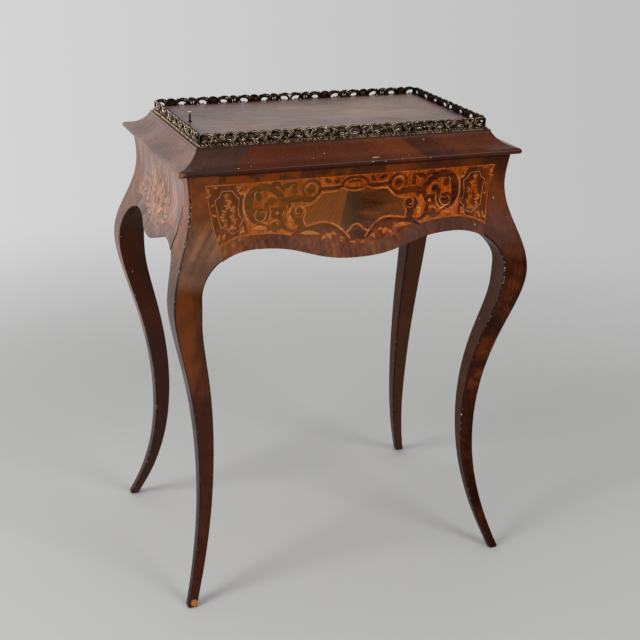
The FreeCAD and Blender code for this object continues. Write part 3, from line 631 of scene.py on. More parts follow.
def long_apron_stains(wood):
    """The dark right end of a long apron, the glowing strip above its marquetry, and the painted shadow under
    the nose.
    """
    wood.stain(DARK_TONE, wood.ease(wood.parts["X"], *DARK_END))
    wood.shade(wood.ease(wood.parts["X"], *LIGHT_END))
    strip = wood.ease(wood.parts["Z"], *UNDER_TOP)
    wood.stain(STRIP_TONE, strip, 0.65)
    glow = wood.product(wood.patches(*GLOW_PATCHES), wood.ease(wood.parts["X"], *STRIP_GLOW))
    wood.stain(GLOW_TONE, strip, glow)
    # painted shadow: a dark line under the nose of the moulding
    wood.stain(UNDER_NOSE_SHADE_TONE, wood.ease(wood.parts["Z"], *UNDER_NOSE_SHADE))


def apron_veneer(name, run, tones, shine, contrast):
    wood = Veneer(name, UPRIGHT, tones, *APRON_GRAIN)
    along = wood.parts[run]
    height = wood.parts["Z"]
    swing = (1 - contrast, 1 + contrast)
    slanted = wood.plus(height, wood.calc("ABSOLUTE", along), GRAIN_SLOPE)
    lines = wood.noise(wood.join(slanted, wood.product(along, 0.15)), GRAIN_LINES, 3.0)
    wood.shade(wood.ease(lines, 0.34, 0.66, *swing))
    wavy = wood.plus(along, wood.noise(wood.place, SEAM_WAVES), SEAM_SWAY)
    aslant = wood.plus(wavy, height, SEAM_SLOPE)
    strips = wood.add("Group", {"Place": aslant, "Width": PIECE_LENGTH}, node_tree=STRIPS)
    wood.shade(wood.ease(strips["Tone"], 0.0, 1.0, *swing))
    wood.stain(SEAM_DIRT, strips["Seam"], 0.4)
    # painted shade: every apron is darkened just under the overhanging moulding
    wood.shade(wood.ease(height, *UNDER_TOP, 1.0, 0.78))
    if run == "X":
        long_apron_stains(wood)
    wood.flecks(share=0.22)
    return wood.polish(gloss=0.22, dull=0.45, shine=shine)


dress(apron_veneer("apron_veneer_long", "X", APRON_LONG, 0.06, 0.14), *every("apron", LONG_SIDES))
dress(apron_veneer("apron_veneer_short", "Y", APRON_SHORT, 0.4, 0.22), *every("apron", SHORT_SIDES))
print("aprons dressed in pieces of", PIECE_LENGTH, "m")

# %% [markdown]
# ## Moulded top
#
# The hollow moulding is veneered across, in broad pieces. On the long sides they are dark, then red brown,
# with one orange piece beside a dark wedge; a ramp along X sets them out, slanted and wavy. On the short
# sides they have faded to much the same grey brown. A painted shade lies under the small fillet at the top,
# dirt and the painted shade of the gallery lie on the flat under the gallery, and on the short sides the
# fillet carries a painted highlight. The thumb edge is worn to the bare wood at the front left corner, and
# chipped and scratched in the middle.

# %% Moulding veneer
MOULDING_PIECES = (
    (0.00, (76, 51, 42)), (0.233, (69, 49, 43)), (0.253, (92, 41, 21)), (0.53, (92, 42, 20)),
    (0.60, (119, 57, 21)), (0.66, (112, 53, 21)), (0.675, (70, 36, 25)), (0.75, (72, 36, 23)),
    (0.78, (100, 50, 25)), (1.00, (80, 38, 22)))
MOULDING_GRAIN = (0.06, 0.0025, 0.06)
PIECE_STRENGTH = 0.75
JOINT_TURN = (-0.12, 0.05)
JOINT_SLOPES = (-1.2, 1.3)
JOINT_WAVES = 16.0
JOINT_SWAY = 0.03
NOSE_SHADE = (0.008, 0.012)
UNDER_FILLET_SHADE = (0.7788, 0.7803, 0.0006)
FILLET_FACE = (0.7807, 0.7828, 0.0003)
FLAT_DIRT_AND_SHADE = (0.0003, 0.0001)
SHADE_AND_DIRT_TONES = ((44, 30, 26), (56, 42, 38))
WORN_CORNER = (0.004, 0.0035, 0.005)
WORN_SPREAD = (0.0038, (0.3, 1.0, 1.0))
BARE_WOOD = (164, 114, 67)
NOSE_CHIP = (0.036, -0.185, 0.7482)
NOSE_CHIP_SPREAD = (0.0034, (0.14, 1.0, 1.0))
CHIP_TONE = (46, 20, 16)
NOSE_SCRATCHES = (((0.0315, -0.1768, 0.7574), 0.0016), ((0.024, -0.1845, 0.7528), 0.0006),
                  ((0.046, -0.1848, 0.7522), 0.0006))
SCRATCH_STRETCH = (0.22, 0.7, 1.0)
SCRATCH_TONE = (184, 156, 132)
RAIL_LONG = ((48, 24, 15), (78, 36, 18), (106, 50, 20))
RAIL_SHORT = ((98, 66, 54), (116, 81, 66), (134, 96, 78))


def moulding_pieces(wood, low, high):
    """The broad pieces of a long side, and its darker nose."""
    wavy = wood.plus(wood.parts["X"], wood.noise(wood.place, JOINT_WAVES), JOINT_SWAY)
    slope = wood.ease(wood.parts["X"], *JOINT_TURN, *JOINT_SLOPES)
    slanted = wood.plus(wavy, wood.calc("SUBTRACT", wood.parts["Z"], high.z), slope)
    along = wood.ease(slanted, low.x, high.x, kind="LINEAR")
    wood.stain(wood.ramp(along, *MOULDING_PIECES), PIECE_STRENGTH)
    wood.shade(wood.ease(wood.streaks, 0.3, 0.7, 0.84, 1.12))
    wood.shade(wood.ease(wood.parts["Z"], low.z + NOSE_SHADE[0], low.z + NOSE_SHADE[1], 0.72, 1.0))


def moulding_veneer(name, axes, tones, fillet, shine):
    wood = Veneer(name, axes, tones, *MOULDING_GRAIN)
    low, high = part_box("top_rail_front")
    if axes == SIDEWAYS:
        moulding_pieces(wood, low, high)
    # on the short sides the pale fillet tone is a painted highlight along the fillet's edge
    wood.stain(fillet, wood.band(*FILLET_FACE), 0.6)
    # painted shade: a dark line under the fillet
    wood.stain(SHADE_AND_DIRT_TONES[0], wood.band(*UNDER_FILLET_SHADE), 0.7)
    # dirt with the painted shade of the gallery on the flat it stands on
    on_flat = wood.ease(wood.parts["Z"], high.z - FLAT_DIRT_AND_SHADE[0], high.z - FLAT_DIRT_AND_SHADE[1], 0.0, 0.75)
    wood.stain(SHADE_AND_DIRT_TONES[1], on_flat)
    wood.stain(BARE_WOOD, wood.near(low + Vector(WORN_CORNER), *WORN_SPREAD))
    wood.stain(CHIP_TONE, wood.near(NOSE_CHIP, *NOSE_CHIP_SPREAD))
    for scratch, radius in NOSE_SCRATCHES:
        wood.stain(SCRATCH_TONE, wood.near(scratch, radius, SCRATCH_STRETCH))
    wood.flecks(share=0.36)
    return wood.polish(gloss=0.19, dull=0.38, shine=shine)


dress(moulding_veneer("moulding_veneer_long", SIDEWAYS, RAIL_LONG, (70, 42, 32), 0.12),
      *every("top_rail", LONG_SIDES))
dress(moulding_veneer("moulding_veneer_short", LENGTHWISE, RAIL_SHORT, (172, 146, 134), 0.35),
      *every("top_rail", SHORT_SIDES))
print("moulded top dressed,", len(MOULDING_PIECES), "stops along the long sides")

# %% [markdown]
# ## Lid
#
# The lid is one board veneered lengthwise, a grey brown that is partly faded by light and water and partly
# a painted sheen, with dark scratches along the grain, and grime with painted shade along its edges, under
# the gallery, darkest along the front.

# %% Lid veneer
# the grey brown is partly faded veneer and partly a painted sheen of the pale surround
LID_TONES = ((104, 82, 76), (126, 102, 94), (146, 116, 100))
LID_GRAIN = (0.11, 0.004, 0.09, 0.007)
LID_MARKS = (  # fineness along X, Y and Z, detail, edge and strength, colour
    ((9.0, 26.0, 1.0), 3.0, (0.5, 0.7, 0.0, 0.5), (146, 102, 86)),
    ((26.0, 300.0, 1.0), 3.0, (0.66, 0.72, 0.0, 0.8), (60, 44, 42)),
    ((14.0, 160.0, 1.0), 4.0, (0.60, 0.70, 0.0, 0.6), (168, 134, 114)),
    ((55.0, 190.0, 1.0), 2.0, (0.68, 0.73, 0.0, 0.9), (56, 40, 38)))
GRIME_AND_SHADE_WIDTH = (-0.003, 0.012)
GRIME_AND_SHADE_TONE = (52, 40, 37)
GRIME_AND_SHADE_WAVES = 45.0
GRIME_AND_SHADE_SWAY = -0.008
FRONT_GRIME_AND_SHADE = (0.010, 0.030)
FRONT_GRIME_AND_SHADE_TONE = (36, 26, 23)


def lid_veneer():
    wood = Veneer("lid_veneer", LENGTHWISE, LID_TONES, *LID_GRAIN)
    for fineness, detail, edge, colour in LID_MARKS:
        marks = wood.noise(wood.times(wood.place, fineness), 1.0, detail)
        wood.stain(colour, wood.ease(marks, *edge))
    low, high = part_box("lid_panel")
    margins = [wood.calc("SUBTRACT", far, wood.calc("ABSOLUTE", wood.parts[axis]))
               for axis, far in (("X", high.x), ("Y", high.y))]
    waves = wood.noise(wood.place, GRIME_AND_SHADE_WAVES, 3.0)
    ragged = wood.plus(wood.calc("MINIMUM", *margins), waves, GRIME_AND_SHADE_SWAY)
    # grime and painted shade along the edges, under the gallery
    wood.stain(GRIME_AND_SHADE_TONE, wood.ease(ragged, *GRIME_AND_SHADE_WIDTH, 0.85, 0.0))
    # painted shade with grime along the front edge, where it is seen through the gallery; the polish is
    # duller there
    front = wood.ease(wood.parts["Y"], low.y + FRONT_GRIME_AND_SHADE[0], low.y + FRONT_GRIME_AND_SHADE[1], 0.92, 0.0)
    wood.stain(FRONT_GRIME_AND_SHADE_TONE, front)
    wood.flecks(share=0.07)
    return wood.polish(gloss=0.26, dull=0.45, grime_and_shade=front)


dress(lid_veneer(), "lid_panel")
print("lid dressed")

# %% [markdown]
# ## Plain inner wood, metal and zinc
#
# What the lid hides is plain: raw pine for the floor, cleats, blocks and battens, dull zinc sheet with
# a spangle for the liner, and iron wire and screws. The knob and the gallery are worn brass.

# %% Inner wood
RAW_PINE = ((120, 86, 56), (158, 118, 78), (182, 140, 96))
PINE_GRAIN = (0.12, 0.004, 0.07)
PINE_DIRT = (84, 62, 44)
DIRT_PATCHES = (11.0, 4.0, 0.45, 0.75, 0.0, 0.55)


def inner_wood():
    wood = Veneer("inner_wood", LENGTHWISE, RAW_PINE, *PINE_GRAIN)
    wood.stain(PINE_DIRT, wood.patches(*DIRT_PATCHES))
    return wood.polish(gloss=0.62, dull=0.85, bump=0.4)


dress(inner_wood(), "mitre_keys", "glue_blocks", "top_blocks", "case_floor", "lid_batten_left",
      "lid_batten_right", *every("floor_cleat", SIDES))
print("inner wood dressed")

# %% Metals
LOOKS_UP = (0.1, 0.9)
TARNISH_EDGE = (0.38, 0.72)
GRIT_FINENESS = 9
GRIT = 0.0004
GRIT_STRENGTH = 0.25
SPANGLE = 70.0
KNOB_HEAD = (0.006, 0.0035)
KNOB_STEM = (40, 31, 27)


def rubbed_and_highlit(work, mask, dark, bright):
    return work.blend(mask, tint(*dark), tint(*bright))


def spangled(work, mask, dark, bright):
    """The crystals of a zinc sheet, each with its own tone."""
    crystals = work.add("TexVoronoi", {"Vector": work.place, "Scale": SPANGLE})["Color"]
    return work.ramp(work.add("SeparateColor", {0: crystals})[0], (0.0, dark), (1.0, bright))


def dark_stem(work, mask, dark, bright):
    """Dark in the groove of the stem; the head is worn bright, with a painted highlight on its top."""
    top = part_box("lid_knob")[1].z
    height = work.add("SeparateXYZ", {0: work.place})["Z"]
    head = work.ease(height, top - KNOB_HEAD[0], top - KNOB_HEAD[1])
    return work.blend(head, tint(*KNOB_STEM), rubbed_and_highlit(work, mask, dark, bright))


def metal(name, dark, bright, scale, gloss, dull, worn_and_highlit_top=0.0, colouring=rubbed_and_highlit):
    """A metal whose tarnish lies in patches, and which is worn bright, with a painted highlight, on faces
    that look up.
    """
    work = Surface(name)
    up = work.add("SeparateXYZ", {0: work.normal})["Z"]
    # faces that look up lean to the bright tone: wear, and a painted highlight where light catches them
    wear_and_highlight = work.plus(work.noise(work.place, scale, 4.0), work.ease(up, *LOOKS_UP), worn_and_highlit_top)
    mask = work.ease(wear_and_highlight, *TARNISH_EDGE)
    grit = work.noise(work.place, scale * GRIT_FINENESS)
    relief = work.add("Bump", {"Height": grit, "Strength": GRIT_STRENGTH, "Distance": GRIT})[0]
    work.fill(work.shader.inputs, {"Base Color": colouring(work, mask, dark, bright), "Metallic": 1.0,
                                   "Roughness": work.ease(mask, 0.0, 1.0, dull, gloss), "Normal": relief})
    return work.material


# wear on top also paints a highlight on faces that look up
METALS = {  # dark tone, bright tone, fineness of the patches, gloss, dullness, wear on top, colouring
    "knob_brass": ((120, 110, 96), (226, 220, 206), 120.0, 0.16, 0.4, 0.4, dark_stem),
    "zinc": ((112, 115, 118), (160, 163, 166), 30.0, 0.38, 0.6, 0.0, spangled),
    "bail_wire": ((70, 64, 60), (120, 114, 108), 90.0, 0.3, 0.55),
    "iron_screws": ((66, 58, 52), (118, 110, 102), 150.0, 0.35, 0.6),
    "gallery_brass": ((30, 21, 15), (92, 65, 45), 140.0, 0.34, 0.6, 0.08),
    "gallery_ribs": ((60, 43, 32), (250, 224, 188), 190.0, 0.18, 0.42, 0.28),
    "bead_brass": ((66, 50, 40), (198, 174, 142), 260.0, 0.28, 0.5, 0.08)}

metals = {name: metal(name, *values) for name, values in METALS.items()}
dress(metals["knob_brass"], "lid_knob")
dress(metals["zinc"], "zinc_liner", "liner_lugs")
dress(metals["bail_wire"], "liner_bail_left", "liner_bail_right")
dress(metals["iron_screws"], "top_block_screws", "floor_screws", "lid_batten_screws")
dress(metals["bead_brass"], "gallery_pins")
print("metals:", list(metals))

# %% [markdown]
# ## Marquetry woods
#
# The panels are pictures in veneer. An amber burr makes the ground of the long sides, a dark rosewood
# the scrolls and the reserve in the middle, and pale box or maple the fine lines and leaves. A painted
# sheen makes the left half of the panel lighter and lower in contrast than the right, so a wood may change
# its tone along X.

# %% Marquetry woods
LEFT_SHEEN = (0.03, -0.11, 0.0, 0.72)
SHEEN_STREAKS = (0.3, 0.7, 0.85, 1.15)
MOTTLE = (85.0, 3.0, 0.46, 0.66, 0.0, 0.6)
RED_BROWN = ((104, 68, 54), (142, 98, 80), (170, 124, 102))
# the faded tone is the colour of a painted sheen over the left half
MARQUETRY_WOODS = {  # grain, tones, length, width and figure of the grain, shine, faded tone, mottle
    "amber_ground": (UPRIGHT, ((136, 52, 8), (180, 78, 12), (206, 100, 20)), (0.03, 0.005, 0.03), 0.05,
                     (164, 91, 36), (124, 56, 15)),
    "rosewood_inlay": (LENGTHWISE, ((60, 25, 11), (84, 37, 13), (110, 54, 18)), (0.03, 0.005, 0.025), 0.05,
                       (122, 74, 34)),
    "pale_inlay": (LENGTHWISE, ((166, 100, 58), (188, 124, 78), (204, 146, 98)), (0.02, 0.003, 0.02), 0.05),
    "orange_inlay": (LENGTHWISE, ((160, 78, 20), (188, 98, 32), (204, 120, 50)), (0.02, 0.003, 0.02), 0.05,
                     (178, 108, 56)),
    "brown_field": (UPRIGHT, ((78, 32, 12), (108, 47, 16), (134, 64, 23)), (0.04, 0.006, 0.03), 0.05,
                    (112, 66, 38)),
    "side_ground": (UPRIGHT, RED_BROWN, (0.05, 0.004, 0.035), 0.35),
    "faded_leaf": (UPRIGHT, ((142, 92, 64), (182, 124, 90), (204, 150, 114)), (0.02, 0.003, 0.015), 0.3),
    "olive_leaf": (UPRIGHT, ((110, 84, 62), (152, 122, 92), (180, 150, 116)), (0.02, 0.003, 0.015), 0.3),
    "shadow_leaf": (UPRIGHT, RED_BROWN[:1] * 3, (0.02, 0.003, 0.02), 0.3),
    "joint_dirt": (UPRIGHT, ((34, 22, 18), (46, 31, 25), (62, 43, 34)), (0.02, 0.003, 0.02), 0.0)}


def marquetry_wood(name, axes, tones, grain, shine, faded=None, mottle=None):
    wood = Veneer(name, axes, tones, *grain)
    # painted sheen: the left half is stained lighter and greyer, the sheen of the light from the left
    if faded:
        wood.stain(faded, wood.ease(wood.parts["X"], *LEFT_SHEEN))
        wood.shade(wood.ease(wood.streaks, *SHEEN_STREAKS))
    if mottle:
        wood.stain(mottle, wood.patches(*MOTTLE))
    wood.flecks(share=0.12)
    return wood.polish(gloss=0.22, dull=0.45, shine=shine)


woods = {name: marquetry_wood(name, *values) for name, values in MARQUETRY_WOODS.items()}
dress(woods["amber_ground"], *every("marquetry_panel", LONG_SIDES))
dress(woods["side_ground"], *every("marquetry_panel", SHORT_SIDES))
print("marquetry woods:", list(woods))

# %% Matched reserve
RESERVE_TONES = ((66, 33, 16), (94, 50, 21), (118, 68, 29))
RESERVE_LEFT = (0.0, -0.02, 0.0, 0.7)
RESERVE_RIGHT = (0.03, 0.085, 0.0, 0.5)
RESERVE_GRAIN = (0.05, 0.004, 0.03)
RESERVE_SLOPE = 1.5
RESERVE_LINES = 230.0
RESERVE_TOP = 0.70
WEDGE_TONE = (66, 46, 33)
# each side of the wedge: its place at the top, its lean, and where its soft edge starts and ends
WEDGE_LEFT = (-0.014, 0.28, -0.001, 0.002)
WEDGE_RIGHT = (0.004, -0.12, 0.010, -0.006)


def matched_reserve():
    """Rosewood in two halves whose grain slopes up to the middle, where a dark wedge lies."""
    wood = Veneer("matched_rosewood", LENGTHWISE, RESERVE_TONES, *RESERVE_GRAIN)
    x = wood.parts["X"]
    wood.stain((148, 84, 38), wood.ease(x, *RESERVE_LEFT))
    wood.stain((126, 68, 28), wood.ease(x, *RESERVE_RIGHT))
    slope = wood.plus(wood.parts["Z"], wood.calc("ABSOLUTE", x), RESERVE_SLOPE)
    wood.shade(wood.ease(wood.noise(wood.join(slope), RESERVE_LINES, 3.0), 0.32, 0.68, 0.72, 1.2))
    depth = wood.calc("SUBTRACT", RESERVE_TOP, wood.parts["Z"])
    edges = [wood.ease(wood.plus(wood.calc("SUBTRACT", x, top), depth, lean), start, end)
             for top, lean, start, end in (WEDGE_LEFT, WEDGE_RIGHT)]
    wood.stain(WEDGE_TONE, *edges, 0.7)
    wood.flecks(share=0.12)
    return wood.polish(gloss=0.22, dull=0.42, shine=0.06)


woods["reserve"] = matched_reserve()
print("reserve:", woods["reserve"].name)

# %% [markdown]
# ## A pen that cuts veneer
#
# Scrollwork is drawn as a saw would follow it: a short edge, as wide as the strip, is pulled along a
# path. Every pull extrudes the edge, turns it to the new heading, moves it on and scales it, so the strip
# swells and narrows. A path is a smooth curve through a few points, which may end in a volute that winds
# round a centre. All of it is flat, in millimetres, seen from in front, with x to the right and z up.

# %% Paths
PULL = 2.5
PULL_TURN = 15


def flat(x, z):
    return Vector((x, 0, z))


def smooth_path(points):
    """A smooth curve through a few points, in short pulls."""
    knots = [flat(*point) for point in points]
    knots = [2 * knots[0] - knots[1]] + knots + [2 * knots[-1] - knots[-2]]
    path = []
    for before, start, end, after in zip(knots, knots[1:], knots[2:], knots[3:]):
        count = max(1, round((end - start).length / PULL))
        for step in range(count):
            t = step / count
            bend = (2 * before - 5 * start + 4 * end - after) * t
            bend += (3 * start - before - 3 * end + after) * t * t
            path.append(start + ((end - before) + bend) * t / 2)
    return path + [knots[-2]]


def volute_path(start, centre, turn, last_radius):
    """A spiral from start round a centre, anticlockwise if turn is positive, to its last radius."""
    arm = start - centre
    count = math.ceil(abs(turn) / PULL_TURN)
    path = []
    for step in range(1, count + 1):
        share = step / count
        spun = Matrix.Rotation(-math.radians(turn) * share, 3, "Y") @ arm
        path.append(centre + spun * (1 + (last_radius / arm.length - 1) * share))
    return path


def part_way(values, share):
    """A value part of the way along a list of values."""
    place = min(max(share, 0.0), 1.0) * (len(values) - 1)
    index = min(int(place), len(values) - 2)
    return values[index] + (values[index + 1] - values[index]) * (place - index)


print("a quarter turn takes", len(volute_path(flat(10, 0), flat(0, 0), 90, 8)), "pulls")

# %% Pen
def pull(strip, edge):
    """Extrudes the pen's edge and returns the new edge."""
    made = bmesh.ops.extrude_edge_only(strip, edges=[edge])["geom"]
    verts = {item for item in made if isinstance(item, bmesh.types.BMVert)}
    return next(item for item in made if isinstance(item, bmesh.types.BMEdge) and set(item.verts) == verts)


def add_to(sheet, strip):
    """Puts a finished strip on a sheet."""
    mesh = mesh_from(strip, "strip")
    sheet.from_mesh(mesh)
    bpy.data.meshes.remove(mesh)


def draw(sheet, path, widths):
    """Cuts a strip of veneer along a path, as wide as the list of widths says from end to end."""
    strip = bmesh.new()
    heading = (path[1] - path[0]).normalized()
    nib = Vector((-heading.z, 0, heading.x)) * widths[0] / 2
    edge = strip.edges.new([strip.verts.new((path[0] + nib * side) * MM) for side in (1, -1)])
    width = widths[0]
    for index in range(1, len(path)):
        edge = pull(strip, edge)
        verts = list(edge.verts)
        ahead = path[min(index + 1, len(path) - 1)] - path[index - 1]
        turn = heading.rotation_difference(ahead.normalized()).to_matrix()
        heading = ahead.normalized()
        bmesh.ops.rotate(strip, cent=path[index - 1] * MM, matrix=turn, verts=verts)
        bmesh.ops.translate(strip, vec=(path[index] - path[index - 1]) * MM, verts=verts)
        wanted = part_way(widths, index / (len(path) - 1))
        bmesh.ops.scale(strip, vec=Vector((1, 1, 1)) * wanted / width,
                        space=Matrix.Translation(-path[index] * MM), verts=verts)
        width = wanted
    add_to(sheet, strip)


print("pen ready")

# %% Shapes for the pen
DOT_SEGMENTS = 16
LEAF_WIDTHS = ((0.4, 0), (0, 0.8), (0, 1.0), (0, 0.7), (0.3, 0))
PETALS = 5
PETAL_LENGTH = 1.5
PETAL_TURN = 20


def dot(sheet, x, z, radius):
    """A round of veneer."""
    upright = Matrix.Translation(flat(x, z) * MM) @ Matrix.Rotation(math.pi / 2, 4, "X")
    bmesh.ops.create_circle(sheet, cap_ends=True, segments=DOT_SEGMENTS, radius=radius * MM, matrix=upright)


def scroll(sheet, points, widths, curl=None):
    """A strip through points; a curl of (x, z, turn, last radius, eye) winds its end round an eye."""
    path = smooth_path(points)
    if curl:
        x, z, turn, last_radius, eye = curl
        path += volute_path(path[-1], flat(x, z), turn, last_radius)
        if eye:
            dot(sheet, x, z, eye)
    draw(sheet, path, widths)


def leaf(sheet, base, heading, length, width, turn=40):
    """A pointed leaf that bends to one side."""
    start = flat(*base)
    ahead = Vector((math.cos(math.radians(heading)), 0, math.sin(math.radians(heading))))
    bend = Matrix.Rotation(-math.radians(turn) / 2, 3, "Y")
    middle = start + ahead * length / 2
    tip = middle + bend @ ahead * length / 2
    draw(sheet, smooth_path([(place.x, place.z) for place in (start, middle, tip)]),
         [least + width * share for least, share in LEAF_WIDTHS])


def flower(sheet, x, z, size):
    """A small blossom of a few petals."""
    for petal in range(PETALS):
        leaf(sheet, (x, z), 90 + petal * 360 / PETALS, size * PETAL_LENGTH, size, PETAL_TURN)


def shape(sheet, points):
    """A piece of veneer with a given outline."""
    verts = [sheet.verts.new(flat(x, z) * MM) for x, z in points]
    edges = [sheet.edges.new((a, b)) for a, b in zip(verts, verts[1:] + verts[:1])]
    return bmesh.ops.edgeloop_fill(sheet, edges=edges)["faces"][0]


def line_round(sheet, points, width):
    """A line of stringing just inside a closed outline."""
    patch = bmesh.new()
    field = shape(patch, points)
    bmesh.ops.inset_region(patch, faces=[field], thickness=width * MM, use_boundary=True,
                           use_even_offset=True)
    bmesh.ops.delete(patch, geom=[field], context="FACES")
    add_to(sheet, patch)


print("dots, scrolls, leaves, flowers of", PETALS, "petals, fields and lines")

# %% [markdown]
# ## Laying the marquetry
#
# The panels bulge, so a flat drawing has to be pressed against them. It is first cut by level planes a
# few millimetres apart, so that it can bend, then each point is sent straight in until it meets the
# frame, and held a little proud of it. A solidify step gives the sheet its thickness, part of it let in.

# %% Press
LEVEL_GAP = 0.004
OUTSIDE = 1.0
LET_IN = 0.15 * MM
FACING = {side: Matrix.Rotation(math.radians(turn), 4, "Z")
          for side, turn in (("front", 0), ("back", 180), ("right", 90), ("left", -90))}


def face_of(side):
    """What the ground of a side is: its panel, its apron and the legs beside them."""
    points, faces = [], []
    for name in ["marquetry_panel_" + side, "apron_" + side] + ["leg_" + corner for corner in CORNERS]:
        mesh = nodes[name].data
        start = len(points)
        points += [vert.co.copy() for vert in mesh.vertices]
        faces += [[start + i for i in face.vertices] for face in mesh.polygons]
    return BVHTree.FromPolygons(points, faces)


GROUND = {side: face_of(side) for side in SIDES}


def everything(sheet):
    return sheet.verts[:] + sheet.edges[:] + sheet.faces[:]


def mirror_half(sheet):
    """Adds the left half of a drawing whose right half is there."""
    made = bmesh.ops.duplicate(sheet, geom=everything(sheet))["geom"]
    verts = [item for item in made if isinstance(item, bmesh.types.BMVert)]
    bmesh.ops.scale(sheet, vec=(-1, 1, 1), verts=verts)


def cut_levels(sheet):
    """Cuts a drawing at even levels, so that it can bend."""
    bmesh.ops.triangulate(sheet, faces=[face for face in sheet.faces if len(face.verts) > 4])
    heights = [vert.co.z for vert in sheet.verts]
    for level in range(math.ceil(min(heights) / LEVEL_GAP), math.ceil(max(heights) / LEVEL_GAP)):
        bmesh.ops.bisect_plane(sheet, geom=everything(sheet), plane_co=(0, 0, level * LEVEL_GAP),
                               plane_no=(0, 0, 1))


def press(sheet, side, proud):
    """Bends a drawing onto a side of the table and gives it thickness."""
    turn = FACING[side]
    inward = turn.to_3x3() @ Vector((0, 1, 0))
    for vert in sheet.verts:
        start = turn @ Vector((vert.co.x, -OUTSIDE, vert.co.z))
        vert.co = GROUND[side].ray_cast(start, inward)[0] - inward * proud
    sheet.normal_update()
    bmesh.ops.reverse_faces(sheet, faces=[face for face in sheet.faces if face.normal.dot(inward) > 0])
    bmesh.ops.solidify(sheet, geom=sheet.faces[:], thickness=proud + LET_IN)


print("ground ready on", len(GROUND), "sides")

# %% Lay
FIELD_PROUD = 0.10 * MM
STRAP_PROUD = 0.18 * MM
LINE_PROUD = 0.26 * MM
TOP_PROUD = 0.34 * MM
SHARP_ANGLE = math.radians(35)


def make_piece(name, sheet, material, body):
    """Turns a finished bmesh into a piece of the table that rides on a body."""
    mesh = mesh_from(sheet, name)
    mesh.materials.append(material)
    mesh.polygons.foreach_set("use_smooth", [True] * len(mesh.polygons))
    mesh.set_sharp_from_angle(angle=SHARP_ANGLE)
    made = put_in_scene(name, mesh)
    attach(made, body)
    return made


def lay(drawing, name, wood, proud, sides, mirrored=True):
    """Lays a drawing on each of several sides, with its mirror image if it is only the right half."""
    if mirrored:
        mirror_half(drawing)
    cut_levels(drawing)
    for side in sides:
        sheet = drawing.copy()
        press(sheet, side, proud)
        made = make_piece(f"{name}_{side}", sheet, woods[wood], "case")
        print(made.name, len(made.data.polygons), "faces")
    drawing.free()


print("four layers, the top one", TOP_PROUD / MM, "mm proud")

# %% [markdown]
# ## Border lines
#
# A fine line runs round each panel. Its lower run follows the arch of the apron: the frame's own panel
# has a narrow rim that looks down, and the points of that rim, in order, are the path of the pen. On the
# long sides it stops where the dark field in the middle begins.

# %% Border lines
BORDER_WIDTH = 1.3
BORDER_STOP = 112
LOOKS_DOWN = -0.5
RIGHT_HALF = -0.01


def rim_points(side):
    """Right half of a panel's lower edge as (distance along, height), from the end to the middle."""
    back = FACING[side].inverted()
    mesh = nodes["marquetry_panel_" + side].data
    found = {}
    for face in mesh.polygons:
        if face.normal.z < LOOKS_DOWN:
            for index in face.vertices:
                place = back @ mesh.vertices[index].co / MM
                if place.x > RIGHT_HALF:
                    found[round(place.x, 1)] = place.z
    return sorted(found.items(), reverse=True)


def border(side):
    """Right half of the line round a panel."""
    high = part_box("marquetry_panel_" + side)[1]
    end = (high.x if side in LONG_SIDES else high.y) / MM
    top = high.z / MM
    inset = BORDER_WIDTH / 2
    stop = BORDER_STOP if side in LONG_SIDES else -1
    rim = [(x, z + inset) for x, z in rim_points(side) if x > stop]
    corner = (end - inset, top - inset)
    sheet = bmesh.new()
    for points in ([(0, top - inset), corner], [corner, (rim[0][0] - inset, rim[0][1])]):
        draw(sheet, smooth_path(points), (BORDER_WIDTH, BORDER_WIDTH))
    draw(sheet, [flat(*point) for point in rim], (BORDER_WIDTH, BORDER_WIDTH))
    return sheet


for pair, line_wood in ((LONG_SIDES, "orange_inlay"), (SHORT_SIDES, "faded_leaf")):
    lay(border(pair[0]), "border_line", line_wood, LINE_PROUD, pair)

# %% [markdown]
# ## Long panels
#
# The drawing is an old one, used on many such tables: a shaped reserve of matched rosewood in the
# middle, strapwork that curls into volutes on either side, and a framed spray of leaves at each end. Only
# the right half is drawn, and the amber ground shows between the pieces.

